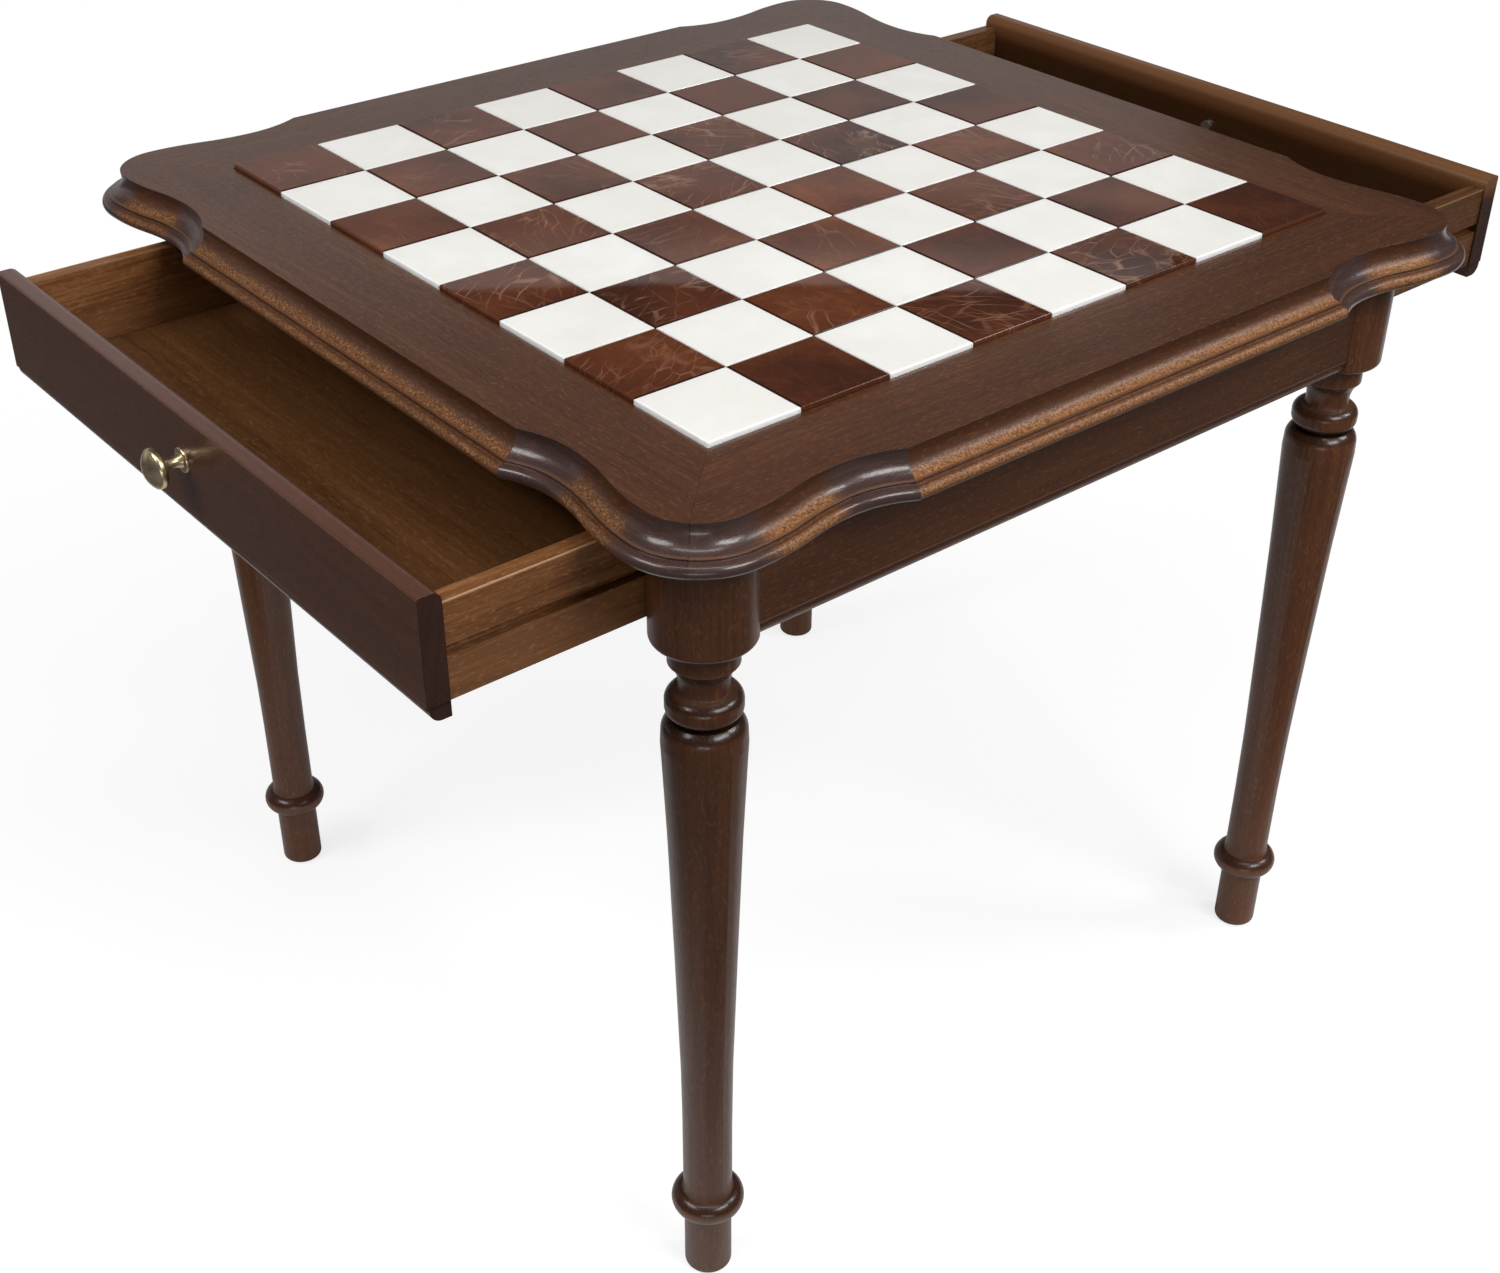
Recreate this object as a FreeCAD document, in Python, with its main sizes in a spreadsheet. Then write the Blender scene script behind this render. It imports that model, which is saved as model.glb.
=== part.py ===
import FreeCAD, Part
import math
import os
import types

import Sketcher
from FreeCAD import Placement, Rotation, Vector

# Driving sizes of the table, in millimetres. Heights are measured up from the floor.
SIZES = {
    # Chess board of stone tiles on a wooden bed
    "table_height": 533,
    "square_size": 57,
    "tile_joint": 0.6,
    "tile_thickness": 10,
    "tile_proud": 2.5,
    "tile_edge_round": 0.9,
    "board_gap": 0.5,
    "bed_lap": 8,
    "bed_ledge_height": 7,
    # Mitred border with its scooped and moulded edge
    "border_thickness": 22,
    "border_width": 56.3,
    "turn_inset": 128.8,
    "scoop_inset": 94.8,
    "scoop_depth": 8.5,
    "corner_radius": 30,
    "lip_overhang": 0.7,
    "lip_height": 0.8,
    "moulding_reach": 13.8,
    "moulding_root": 5,
    "spline_thickness": 4,
    "spline_length": 30,
    "spline_width": 22,
    # Turned legs
    "leg_inset": 42.8,
    "block_radius": 26.9,
    "block_edge_round": 3,
    "block_flat_offset": 17.7,
    "ring_radius": 18,
    "ring_height": 13.3,
    "ring_step": 0.4,
    "neck_radius": 13.3,
    "neck_length": 16.6,
    "ball_radius": 19.7,
    "ball_height": 15,
    "ball_belly": 4.4,
    "notch_radius": 14,
    "notch_height": 1.2,
    "shoulder_radius": 22,
    "shoulder_height": 15,
    "shoulder_round_height": 8,
    "ankle_radius": 14.1,
    "ankle_height": 112,
    "collar_radius": 20.5,
    "collar_height": 15.4,
    "collar_flare": 0.9,
    "collar_flare_height": 8,
    "foot_radius": 13.7,
    "foot_height": 46.5,
    "foot_edge_round": 2.6,
    # Aprons, and the boards and rails inside the frame
    "apron_height": 67.7,
    "apron_thickness": 20,
    "apron_face_offset": 20,
    "bead_height": 8,
    "bead_step": 1.2,
    "bead_depth": 6.5,
    "guide_height": 44,
    "guide_drop": 4,
    "centre_rail_thickness": 12,
    "centre_rail_housing": 6,
    "kicker_thickness": 7,
    "kicker_depth": 45,
    "kicker_setback": 1.5,
    # Drawers
    "front_thickness": 12.5,
    "front_end_gap": 1.8,
    "front_top_gap": 1.5,
    "front_edge_round": 1.6,
    "front_inner_round": 5.5,
    "side_overhang": 1.2,
    "side_drop": 7,
    "side_height": 51.5,
    "side_thickness": 10,
    "stop_gap": 1,
    "stop_top_gap": 2,
    "panel_thickness": 4,
    "panel_groove_depth": 5,
    "panel_groove_height": 2,
    "runner_groove_height": 5.6,
    "runner_groove_depth": 5,
    "runner_clearance": 0.4,
    # Brass knobs
    "knob_drop": 26,
    "knob_radius": 10.8,
    "knob_length": 22,
    "knob_cap_height": 9.2,
    "knob_rim_round": 2.6,
    "knob_flange_radius": 6.8,
    "knob_flange_height": 2.4,
    "knob_stem_radius": 4,
    "knob_thread_depth": 10,
    # Dowels and screws
    "fit_clearance": 0.1,
    "apron_dowel_radius": 4,
    "apron_dowel_length": 30,
    "apron_dowel_spacing": 34,
    "kicker_dowel_radius": 2,
    "kicker_dowel_length": 24,
    "screw_radius": 1.7,
    "screw_head_radius": 2.9,
    "screw_head_height": 2.2,
    "screw_bite": 11,
    "screw_edge_distance": 12,
    "runner_screw_radius": 1.1,
    "runner_screw_head_radius": 1.8,
    "runner_screw_head_height": 1.5,
    "drawer_dowel_radius": 2.5,
    "drawer_dowel_length": 18,
    "drawer_dowel_depth": 8,
    "knob_screw_radius": 1.9,
    "knob_screw_head_radius": 4,
    "knob_screw_head_height": 2.6,
    "overrun": 1,
}

SQUARES = 8
KICKER_SCREWS = 3
RUNNER_SCREWS = 3
SCREWED_SIDES = ("back", "front")
QUARTER_TURN = 90
HALF_TURN = 180

# How far each drawer stands open, as a share of its way out to the stop
FRONT_OPEN_SHARE = 0.65
BACK_OPEN_SHARE = 0.85

# The moulding: how steeply its cove still falls at its foot, in degrees, and the points from there down as
# shares of the border's thickness, back from the full reach and down from the top
COVE_FOOT_SLOPE = 8.76728
COVE_FOOT_SHARES = (0.204491, 0.609)
QUIRK_SHARES = (0.216409, 0.658)
BEAD_TOP_SHARES = (0.150545, 0.684)
BEAD_CROWN_SHARES = (0.022707, 0.759)
BEAD_FOOT_SHARES = (0.081545, 1.0)

# How far each curve of a turned or moulded outline bows, as a share of half its chord
ROUND_CORNER_SHARE = math.tan(math.pi / 8)
CAVETTO_SHARE = 0.24
BALL_SHARE = 0.38
SHOULDER_SHARE = 0.25
FLARE_SHARE = 0.10
COLLAR_SHARE = 0.86
STEM_HOLLOW_SHARE = 0.2
RIM_TURN_SHARE = 0.30
RIM_INSET_SHARE = 0.09
SHOULDER_START_SHARE = 0.80
SHOULDER_SWELL_SHARE = 0.985

# The leg's taper from ankle to shoulder, as shares of its height and of its gain in radius
TAPER_SHARES = ((0.18, 0.063), (0.485, 0.354), (0.76, 0.646))

# Marks the curve of a dome, whose centre lies on the axis that it is turned about
DOME = "dome"

doc = FreeCAD.newDocument("chess_table")
sheet = doc.addObject("Spreadsheet::Sheet", "sizes")
for row, (name, number) in enumerate(SIZES.items(), start=1):
    sheet.set(f"A{row}", name)
    sheet.set(f"B{row}", str(number))
    sheet.setAlias(f"B{row}", name)
doc.recompute()


class Size:
    """A length of the sheet, or one worked out from such lengths, as a number and as an expression."""

    def __init__(self, value, text):
        self.value = float(value)
        self.text = text

    def __add__(self, other):
        other = as_size(other)
        return Size(self.value + other.value, f"({self.text} + {other.text})")

    def __sub__(self, other):
        other = as_size(other)
        return Size(self.value - other.value, f"({self.text} - {other.text})")

    def __mul__(self, other):
        other = as_size(other)
        return Size(self.value * other.value, f"({self.text} * {other.text})")

    def __truediv__(self, other):
        other = as_size(other)
        return Size(self.value / other.value, f"({self.text} / {other.text})")

    def __neg__(self):
        return Size(-self.value, f"(0 - {self.text})")

    __radd__ = __add__
    __rmul__ = __mul__


def as_size(item):
    return item if isinstance(item, Size) else Size(item, repr(float(item)))


ZERO = Size(0, "0")
dim = types.SimpleNamespace(**{name: Size(sheet.get(name), f"sizes.{name}") for name in SIZES})

# Levels and distances shared by several pieces
board_half = dim.square_size * SQUARES / 2
border_inner = board_half + dim.board_gap
border_side = border_inner + dim.border_width
border_top = dim.table_height - dim.tile_proud
underside = border_top - dim.border_thickness
tile_bottom = dim.table_height - dim.tile_thickness
ledge_top = underside + dim.bed_ledge_height
block_bottom = underside - dim.apron_height
leg_half = border_side - dim.leg_inset
frame_inner = leg_half - dim.block_flat_offset
apron_outer = leg_half + dim.apron_face_offset
apron_inner = apron_outer - dim.apron_thickness

# A closed drawer's own levels and distances, with its front towards -Y
front_inner = apron_outer - dim.front_thickness
front_half = frame_inner - dim.front_end_gap
front_top = underside - dim.front_top_gap
side_outer = front_half - dim.side_overhang
side_inner = side_outer - dim.side_thickness
side_top = front_top - dim.side_drop
side_bottom = side_top - dim.side_height
knob_level = front_top - dim.knob_drop
drawer_end = dim.centre_rail_thickness / 2 + dim.stop_gap
groove_middle = side_bottom + dim.side_height / 2
groove_low = groove_middle - dim.runner_groove_height / 2
groove_high = groove_middle + dim.runner_groove_height / 2
panel_low = side_bottom + dim.panel_groove_height
panel_top = panel_low + dim.panel_thickness
kicker_outer = front_inner - dim.kicker_setback
kicker_inner = kicker_outer - dim.kicker_depth
kicker_bottom = underside - dim.kicker_thickness
drawer_travel = kicker_inner - drawer_end - dim.side_thickness - dim.stop_gap

parts = {}


def keep(label, piece):
    """Name a finished piece and note it for writing."""
    piece.Label = label
    parts[label] = piece
    return piece


def bind(piece, prop, size):
    piece.setExpression(prop, size.text)


def place(piece, x, y, z, turn=0, tip=None):
    """Stand a piece at a point, turned about Z. A half turn carries the point round with it."""
    spin = Rotation(Vector(0, 0, 1), turn)
    piece.Placement = Placement(Vector(), spin.multiply(tip) if tip else spin)
    sign = -1 if turn == HALF_TURN else 1
    bind(piece, "Placement.Base.x", x * sign)
    bind(piece, "Placement.Base.y", y * sign)
    bind(piece, "Placement.Base.z", z)
    return piece


def box(name, low, high, turn=0):
    """A board between two corners."""
    piece = doc.addObject("Part::Box", name)
    for prop, start, end in zip(("Length", "Width", "Height"), low, high):
        bind(piece, prop, end - start)
    return place(piece, *low, turn)


ALONG_X = Rotation(Vector(0, 1, 0), QUARTER_TURN)
ALONG_Y = Rotation(Vector(1, 0, 0), -QUARTER_TURN)


def rod(name, radius, length, start, tip=None, turn=0):
    """A round bar that starts at a point and runs along Z, or along X or Y when tipped."""
    piece = doc.addObject("Part::Cylinder", name)
    bind(piece, "Radius", radius)
    bind(piece, "Height", length)
    return place(piece, *start, turn, tip)


def group(name, pieces):
    bundle = doc.addObject("Part::Compound", name)
    bundle.Links = pieces
    return bundle


def fuse(name, pieces):
    joined = doc.addObject("Part::MultiFuse", name)
    joined.Shapes = pieces
    return joined


def cut(name, base, tools):
    """Take tools out of a base piece."""
    piece = doc.addObject("Part::Cut", name)
    piece.Base = base
    piece.Tool = tools[0] if len(tools) == 1 else fuse(name + "_tools", tools)
    return piece


def arc_through(start, end, bow_share):
    """The arc from start to end that bows to the right of its chord for a positive share."""
    chord = end - start
    middle = (start + end) * 0.5 + Vector(chord.y, -chord.x, 0) * (bow_share / 2)
    return Part.Arc(start, middle, end)


def dome_arc(start, end):
    """The arc from a rim up to the axis, level where it meets the axis."""
    rise = end.y - start.y
    radius = (start.x**2 + rise**2) / (2 * rise)
    centre = Vector(0, end.y - radius, 0)
    middle = centre + ((start - centre).normalize() + Vector(0, 1, 0)).normalize() * radius
    return Part.Arc(start, middle, end)


def outline_edge(start, end, bow):
    if bow == DOME:
        return dome_arc(start, end)
    return arc_through(start, end, bow) if bow else Part.LineSegment(start, end)


def outline_sketch(body, plane, points):
    """A closed outline of (x, y, bow share) points, each tied to the sheet."""
    sketch = body.newObject("Sketcher::SketchObject", body.Name + "_outline")
    sketch.AttachmentSupport = [(next(f for f in body.Origin.OriginFeatures if f.Role == plane), "")]
    sketch.MapMode = "FlatFace"
    following = points[1:] + points[:1]
    starts = []
    for (x, y, bow), (next_x, next_y, _) in zip(points, following):
        start = Vector(x.value, y.value, 0)
        end = Vector(next_x.value, next_y.value, 0)
        index = sketch.addGeometry(outline_edge(start, end, bow))
        to_first = sketch.getPoint(index, 1).distanceToPoint(start)
        to_second = sketch.getPoint(index, 2).distanceToPoint(start)
        starts.append(1 if to_first < to_second else 2)
    for index, (x, y, bow) in enumerate(points):
        after = (index + 1) % len(points)
        tie = Sketcher.Constraint("Coincident", index, 3 - starts[index], after, starts[after])
        sketch.addConstraint(tie)
        for kind, axis, size in (("DistanceX", -2, x), ("DistanceY", -1, y)):
            if size is ZERO:
                sketch.addConstraint(Sketcher.Constraint("PointOnObject", index, starts[index], axis))
            else:
                rule = sketch.addConstraint(Sketcher.Constraint(kind, index, starts[index], size.value))
                bind(sketch, f"Constraints[{rule}]", size)
        if bow == DOME:
            sketch.addConstraint(Sketcher.Constraint("PointOnObject", index, 3, -2))
        elif bow:
            across = following[index][0] - x
            along = following[index][1] - y
            squared = across * across + along * along
            chord = Size(math.sqrt(squared.value), f"sqrt({squared.text})")
            radius = chord * ((1 + bow * bow) / (4 * abs(bow)))
            rule = sketch.addConstraint(Sketcher.Constraint("Radius", index, radius.value))
            bind(sketch, f"Constraints[{rule}]", radius)
    return sketch


def turned(name, points):
    """A piece turned about Z from a half outline."""
    body = doc.addObject("PartDesign::Body", name)
    sketch = outline_sketch(body, "XZ_Plane", points)
    lathe = body.newObject("PartDesign::Revolution", name + "_turning")
    lathe.Profile = sketch
    lathe.ReferenceAxis = (sketch, ["V_Axis"])
    return body


def strip(name, plane, points, length):
    """A length of wood with one section, centred on the section's plane."""
    body = doc.addObject("PartDesign::Body", name)
    pad = body.newObject("PartDesign::Pad", name + "_length")
    pad.Profile = outline_sketch(body, plane, points)
    pad.SideType = "Symmetric"
    bind(pad, "Length", length)
    return body


# Chess board: the bed that lies in the border's rebate, and two sets of tiles on it


def board_bed(screw_holes):
    reach = border_inner
    small = reach - dim.bed_lap
    upper = box("bed_upper", (-reach, -reach, ledge_top), (reach, reach, tile_bottom))
    lower = box("bed_lower", (-small, -small, underside), (small, small, ledge_top))
    keep("board_bed", cut("board_bed", fuse("bed_blank", [upper, lower]), screw_holes))


def tile_set(label, parity):
    """Every second square of the board, as polished tiles with rounded upper edges."""
    width = (dim.square_size - dim.tile_joint).value
    tile = Part.makeBox(width, width, dim.tile_thickness.value)
    rim = [edge for edge in tile.Edges if min(v.Z for v in edge.Vertexes) > dim.tile_thickness.value / 2]
    tile = tile.makeFillet(dim.tile_edge_round.value, rim)
    first = -board_half.value + dim.tile_joint.value / 2
    tiles = []
    for column in range(SQUARES):
        for row in range(SQUARES):
            if (column + row) % 2 == parity:
                corner = Vector(column, row, 0) * dim.square_size.value + Vector(first, first, 0)
                tiles.append(tile.translated(corner))
    piece = doc.addObject("Part::Feature", label)
    piece.Shape = Part.makeCompound(tiles)
    keep(label, place(piece, ZERO, ZERO, tile_bottom))


# Border: four mitred rails, each with a straight middle and a scooped run to either corner


class BorderEdge:
    """Half of one side's edge, from the middle to the corner's diagonal, as points and arc centres."""

    def __init__(self):
        self.side = border_side.value
        self.turn = Vector(self.side - dim.turn_inset.value, self.side, 0)
        depth = dim.scoop_depth.value
        self.deep = Vector(self.side - dim.scoop_inset.value, self.side - depth, 0)
        rise = self.deep.x - self.turn.x
        self.scoop_centre = self.deep + Vector(0, (rise**2 + depth**2) / (2 * depth), 0)
        inset = self.side - dim.corner_radius.value
        self.corner_centre = Vector(inset, inset, 0)
        self.crest = Vector(inset, self.side, 0)
        run = self.crest.x - self.deep.x
        sweep_radius = (run**2 + depth**2) / (4 * depth)
        self.hollow_centre = self.deep + Vector(0, sweep_radius, 0)
        self.swell_centre = self.crest - Vector(0, sweep_radius, 0)
        self.middle = (self.deep + self.crest) * 0.5
        diagonal = inset + dim.corner_radius.value / math.sqrt(2)
        self.corner = Vector(diagonal, diagonal, 0)

    def arcs(self):
        """Each arc as its centre, start and end, in order along the edge."""
        return [
            (self.scoop_centre, self.turn, self.deep),
            (self.hollow_centre, self.deep, self.middle),
            (self.swell_centre, self.middle, self.crest),
            (self.corner_centre, self.crest, self.corner),
        ]


def signed_turn(centre, start, end):
    """Degrees from start to end about a centre, by the right-hand rule about Z."""
    a = start - centre
    b = end - centre
    return math.degrees(math.atan2(a.x * b.y - a.y * b.x, a.dot(b)))


def arc_edge(centre, start, end):
    half = Rotation(Vector(0, 0, 1), signed_turn(centre, start, end) / 2)
    return Part.Arc(start, centre + half.multVec(start - centre), end).toShape()


def moulding_section(point, outward, root):
    """The moulding's face at a point of the edge, with its back a little inside the edge."""
    reach = dim.moulding_reach.value
    depth = dim.border_thickness.value
    top = border_top.value

    def at(out, down):
        return point + outward * out + Vector(0, 0, top - down)

    def below_cove(shares):
        return at(reach - shares[0] * depth, shares[1] * depth)

    back_top = at(-root, 0)
    lip = at(dim.lip_overhang.value, 0)
    lip_foot = at(dim.lip_overhang.value, dim.lip_height.value)
    cove_foot = below_cove(COVE_FOOT_SHARES)
    run = (cove_foot - lip_foot).dot(outward)
    fall = lip_foot.z - cove_foot.z
    sag_share = math.tan((math.atan2(fall, run) - math.radians(COVE_FOOT_SLOPE)) / 2) / 2
    cove_deep = (lip_foot + cove_foot) * 0.5 - outward * (sag_share * fall) - Vector(0, 0, sag_share * run)
    quirk = below_cove(QUIRK_SHARES)
    bead_top = below_cove(BEAD_TOP_SHARES)
    bead_crown = below_cove(BEAD_CROWN_SHARES)
    bead_foot = below_cove(BEAD_FOOT_SHARES)
    back_foot = at(-root, depth)
    edges = [
        Part.makeLine(back_top, lip),
        Part.makeLine(lip, lip_foot),
        Part.Arc(lip_foot, cove_deep, cove_foot).toShape(),
        Part.makeLine(cove_foot, quirk),
        Part.makeLine(quirk, bead_top),
        Part.Arc(bead_top, bead_crown, bead_foot).toShape(),
        Part.makeLine(bead_foot, back_foot),
        Part.makeLine(back_foot, back_top),
    ]
    return Part.Face(Part.Wire(edges))


def moulding_runs(edge):
    """The moulding along half of a side: the straight, up to where it meets the scoop, and each arc."""
    root = dim.moulding_root.value
    past_turn = dim.moulding_reach.value
    straight = moulding_section(Vector(0, edge.side, 0), Vector(0, 1, 0), root)
    straight = straight.extrude(Vector(edge.turn.x + past_turn, 0, 0))
    runs = [straight.cut(past_scoop(edge, past_turn))]
    for centre, start, end in edge.arcs():
        outward = (start - centre).normalize()
        if outward.y < 0:
            outward = -outward
        section = moulding_section(start, outward, root)
        runs.append(section.revolve(centre, Vector(0, 0, 1), signed_turn(centre, start, end)))
    return runs


def past_scoop(edge, past_turn):
    """What the scoop's moulding, carried on past the turn, leaves outside it."""
    root = dim.moulding_root.value
    to_centre = edge.scoop_centre - edge.turn
    sense = signed_turn(edge.scoop_centre, edge.deep, edge.turn)
    bend = math.degrees(math.copysign(2 * past_turn / to_centre.Length, sense))
    scoop = moulding_section(edge.turn, Vector(to_centre).normalize(), root)
    scoop = scoop.revolve(edge.scoop_centre, Vector(0, 0, 1), bend)
    height = 2 * dim.border_thickness.value
    corner = Vector(edge.turn.x, edge.side - root, underside.value - height / 4)
    return Part.makeBox(2 * past_turn, root + 2 * past_turn, height, corner).cut(scoop)


def prism(edges, low, high):
    face = Part.Face(Part.Wire(Part.__sortEdges__(edges)))
    return face.extrude(Vector(0, 0, high - low))


def flipped(vector):
    return Vector(-vector.x, vector.y, vector.z)


def rail_core(edge):
    """The plain wood of a rail: its flat slab up to the edge, and the ledge that carries the bed."""
    low = Vector(0, 0, underside.value)
    inner = border_inner.value
    outer_edges = [arc_edge(*arc) for arc in edge.arcs()]
    outer_edges += [arc_edge(flipped(c), flipped(s), flipped(e)) for c, s, e in edge.arcs()]
    outer_edges.append(Part.makeLine(flipped(edge.turn), edge.turn))
    right = Vector(inner, inner, 0)
    outer_edges.append(Part.makeLine(edge.corner, right))
    outer_edges.append(Part.makeLine(right, flipped(right)))
    outer_edges.append(Part.makeLine(flipped(right), flipped(edge.corner)))
    slab = prism(outer_edges, underside.value, border_top.value).translated(low)
    ledge_right = right - Vector(dim.bed_lap.value, dim.bed_lap.value, 0)
    corners = [right, flipped(right), flipped(ledge_right), ledge_right, right]
    ledge = prism(Part.makePolygon(corners).Edges, underside.value, ledge_top.value).translated(low)
    return slab.fuse(ledge)


def mitre_spline(corner, spare):
    """A loose tongue across a mitre, or its slot when given some room to spare."""
    length = dim.spline_length.value + 2 * spare
    width = dim.spline_width.value + 2 * spare
    height = dim.spline_thickness.value + 2 * spare
    tongue = Part.makeBox(length, width, height, Vector(-length / 2, -width / 2, -height / 2))
    place_at = (corner + Vector(border_inner.value, border_inner.value, 0)) * 0.5
    middle = Vector(0, 0, (ledge_top.value + border_top.value) / 2)
    tongue.Placement = Placement(place_at + middle, Rotation(Vector(0, 0, 1), QUARTER_TURN / 2))
    return tongue


def border(screw_holes):
    edge = BorderEdge()

    def both_hands(shapes):
        return shapes + [shape.mirror(Vector(), Vector(1, 0, 0)) for shape in shapes]

    rail = rail_core(edge).multiFuse(both_hands(moulding_runs(edge))).removeSplitter()
    for slot in both_hands([mitre_spline(edge.corner, dim.fit_clearance.value)]):
        rail = rail.cut(slot)
    sides = ("back", "left", "front", "right")
    for turns, side in enumerate(sides):
        blank = doc.addObject("Part::Feature", f"border_{side}_blank")
        blank.Shape = rail
        place(blank, ZERO, ZERO, ZERO, turns * QUARTER_TURN)
        label = f"border_rail_{side}"
        keep(label, cut(label, blank, screw_holes) if side in SCREWED_SIDES else blank)
    tongues = []
    for turns in range(len(sides)):
        tongue = mitre_spline(edge.corner, 0)
        tongue.rotate(Vector(), Vector(0, 0, 1), turns * QUARTER_TURN)
        tongues.append(tongue)
    piece = doc.addObject("Part::Feature", "mitre_splines")
    piece.Shape = Part.makeCompound(tongues)
    keep("mitre_splines", piece)


# Legs, turned in one piece, with two flats on the block for the apron and the drawer


def leg_points():
    ring_foot = block_bottom - dim.ring_height
    neck = ring_foot - dim.neck_length
    ball_foot = neck - dim.ball_height
    shoulder_top = ball_foot - dim.notch_height
    shoulder = shoulder_top - dim.shoulder_height
    round_foot = shoulder_top - dim.shoulder_round_height
    ball_middle = ball_foot + dim.ball_height / 2
    belly = dim.ball_belly / 2
    collar_top = dim.foot_height + dim.collar_height
    flare_top = collar_top + dim.collar_flare_height
    foot_flat = dim.foot_radius - dim.foot_edge_round
    block_flat = dim.block_radius - dim.block_edge_round
    taper_height = shoulder - dim.ankle_height
    taper_gain = dim.shoulder_radius - dim.ankle_radius
    taper = [
        (dim.ankle_radius + taper_gain * gain, dim.ankle_height + taper_height * height, 0)
        for height, gain in TAPER_SHARES
    ]
    return [
        (ZERO, ZERO, 0),
        (foot_flat, ZERO, ROUND_CORNER_SHARE),
        (dim.foot_radius, dim.foot_edge_round, 0),
        (dim.foot_radius, dim.foot_height, COLLAR_SHARE),
        (dim.ankle_radius + dim.collar_flare, collar_top, -FLARE_SHARE),
        (dim.ankle_radius, flare_top, 0),
        (dim.ankle_radius, dim.ankle_height, 0),
        *taper,
        (dim.shoulder_radius, shoulder, 0),
        (dim.shoulder_radius * SHOULDER_SWELL_SHARE, round_foot, SHOULDER_SHARE),
        (dim.shoulder_radius * SHOULDER_START_SHARE, shoulder_top, 0),
        (dim.notch_radius, shoulder_top, 0),
        (dim.notch_radius, ball_foot, BALL_SHARE),
        (dim.ball_radius, ball_middle - belly, 0),
        (dim.ball_radius, ball_middle + belly, BALL_SHARE),
        (dim.neck_radius, neck, -CAVETTO_SHARE),
        (dim.ring_radius - dim.ring_step, ring_foot, 0),
        (dim.ring_radius, ring_foot, 0),
        (dim.ring_radius, block_bottom, 0),
        (block_flat, block_bottom, ROUND_CORNER_SHARE),
        (dim.block_radius, block_bottom + dim.block_edge_round, 0),
        (dim.block_radius, underside, 0),
        (ZERO, underside, 0),
    ]


def apron_dowels(name, across, along, spare):
    """The two dowels at one end of an apron, or their holes when given some room to spare."""
    length = dim.apron_dowel_length + spare * 2
    at_x = (apron_inner + apron_outer) / 2 * across
    start = frame_inner * along - length / 2
    rods = []
    for step in (-1, 1):
        level = block_bottom + dim.apron_height / 2 + dim.apron_dowel_spacing * step / 2
        at = (at_x, start, level)
        rods.append(rod(f"{name}_{step + 1}", dim.apron_dowel_radius + spare, length, at, ALONG_Y))
    return rods


def kicker_dowels(name, across, along, spare):
    """The dowel at one end of a kicker rail, or its hole when given some room to spare."""
    length = dim.kicker_dowel_length + spare * 2
    start = frame_inner * across - length / 2
    at_y = (kicker_outer - dim.screw_edge_distance) * along
    level = (kicker_bottom + underside) / 2
    return [rod(name, dim.kicker_dowel_radius + spare, length, (start, at_y, level), ALONG_X)]


CORNERS = {
    "front_left": (-1, -1),
    "front_right": (1, -1),
    "back_left": (-1, 1),
    "back_right": (1, 1),
}


def apron_dowel_holes(name, across, along):
    return apron_dowels(name + "_apron_hole", across, along, dim.fit_clearance)


def kicker_dowel_holes(name, across, along):
    return kicker_dowels(name + "_kicker_hole", across, along, dim.fit_clearance)


def legs():
    for corner, (across, along) in CORNERS.items():
        label = f"leg_{corner}"
        blank = place(turned(label + "_turned", leg_points()), leg_half * across, leg_half * along, ZERO)
        near = frame_inner - dim.block_radius
        far = leg_half + dim.block_radius + dim.overrun
        top = underside + dim.overrun
        tools = []
        for name, far_x, far_y in (("side", frame_inner, far), ("end", far, frame_inner)):
            ends_x = sorted((near * across, far_x * across), key=lambda size: size.value)
            ends_y = sorted((near * along, far_y * along), key=lambda size: size.value)
            low, high = zip(ends_x, ends_y)
            tools.append(box(f"{label}_{name}_flat", (*low, block_bottom), (*high, top)))
        tools += apron_dowel_holes(label, across, along) + kicker_dowel_holes(label, across, along)
        keep(label, cut(label, blank, tools))


# Aprons on the two sides without drawers, with a small moulded bead along the lower edge


def bead_points(outer, inner, top_points):
    """A section whose lower outer edge is stepped and rounded. Outer lies below inner on the axis."""
    step = outer + dim.bead_step
    bead_top = block_bottom + dim.bead_height
    return [
        (inner, block_bottom, 0),
        *top_points,
        (outer, bead_top, 0),
        (step, bead_top, 0),
        (step, block_bottom + dim.bead_depth, ROUND_CORNER_SHARE),
        (step + dim.bead_depth, block_bottom, 0),
    ]


def aprons():
    for side, across in (("left", -1), ("right", 1)):
        label = f"apron_{side}"
        top_points = [(-apron_inner, underside, 0), (-apron_outer, underside, 0)]
        points = bead_points(-apron_outer, -apron_inner, top_points)
        turn = HALF_TURN if across > 0 else 0
        blank = place(strip(label + "_blank", "XZ_Plane", points, frame_inner * 2), ZERO, ZERO, ZERO, turn)
        holes = []
        for end, along in (("front", -1), ("back", 1)):
            holes += apron_dowel_holes(f"{label}_{end}", across, along)
        keep(label, cut(label, blank, holes))


def dowel_sets():
    apron_rods = []
    kicker_rods = []
    for corner, (across, along) in CORNERS.items():
        apron_rods += apron_dowels(f"apron_dowel_{corner}", across, along, ZERO)
        kicker_rods += kicker_dowels(f"kicker_dowel_{corner}", across, along, ZERO)
    keep("apron_dowels", group("apron_dowels", apron_rods))
    keep("kicker_dowels", group("kicker_dowels", kicker_rods))


# Inside the frame: guide boards behind the aprons, runners, the centre rail and two kicker rails


def screw(name, kind, start, length, spare, tip=None, turn=0):
    """A screw whose head's outer face is at the start, or its hole when given some room to spare."""
    radius, head_radius, head_height = kind
    head = rod(name + "_head", head_radius + spare, head_height, start, tip, turn)
    shank = rod(name + "_shank", radius + spare, length + spare, start, tip, turn)
    return fuse(name, [head, shank])


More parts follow.
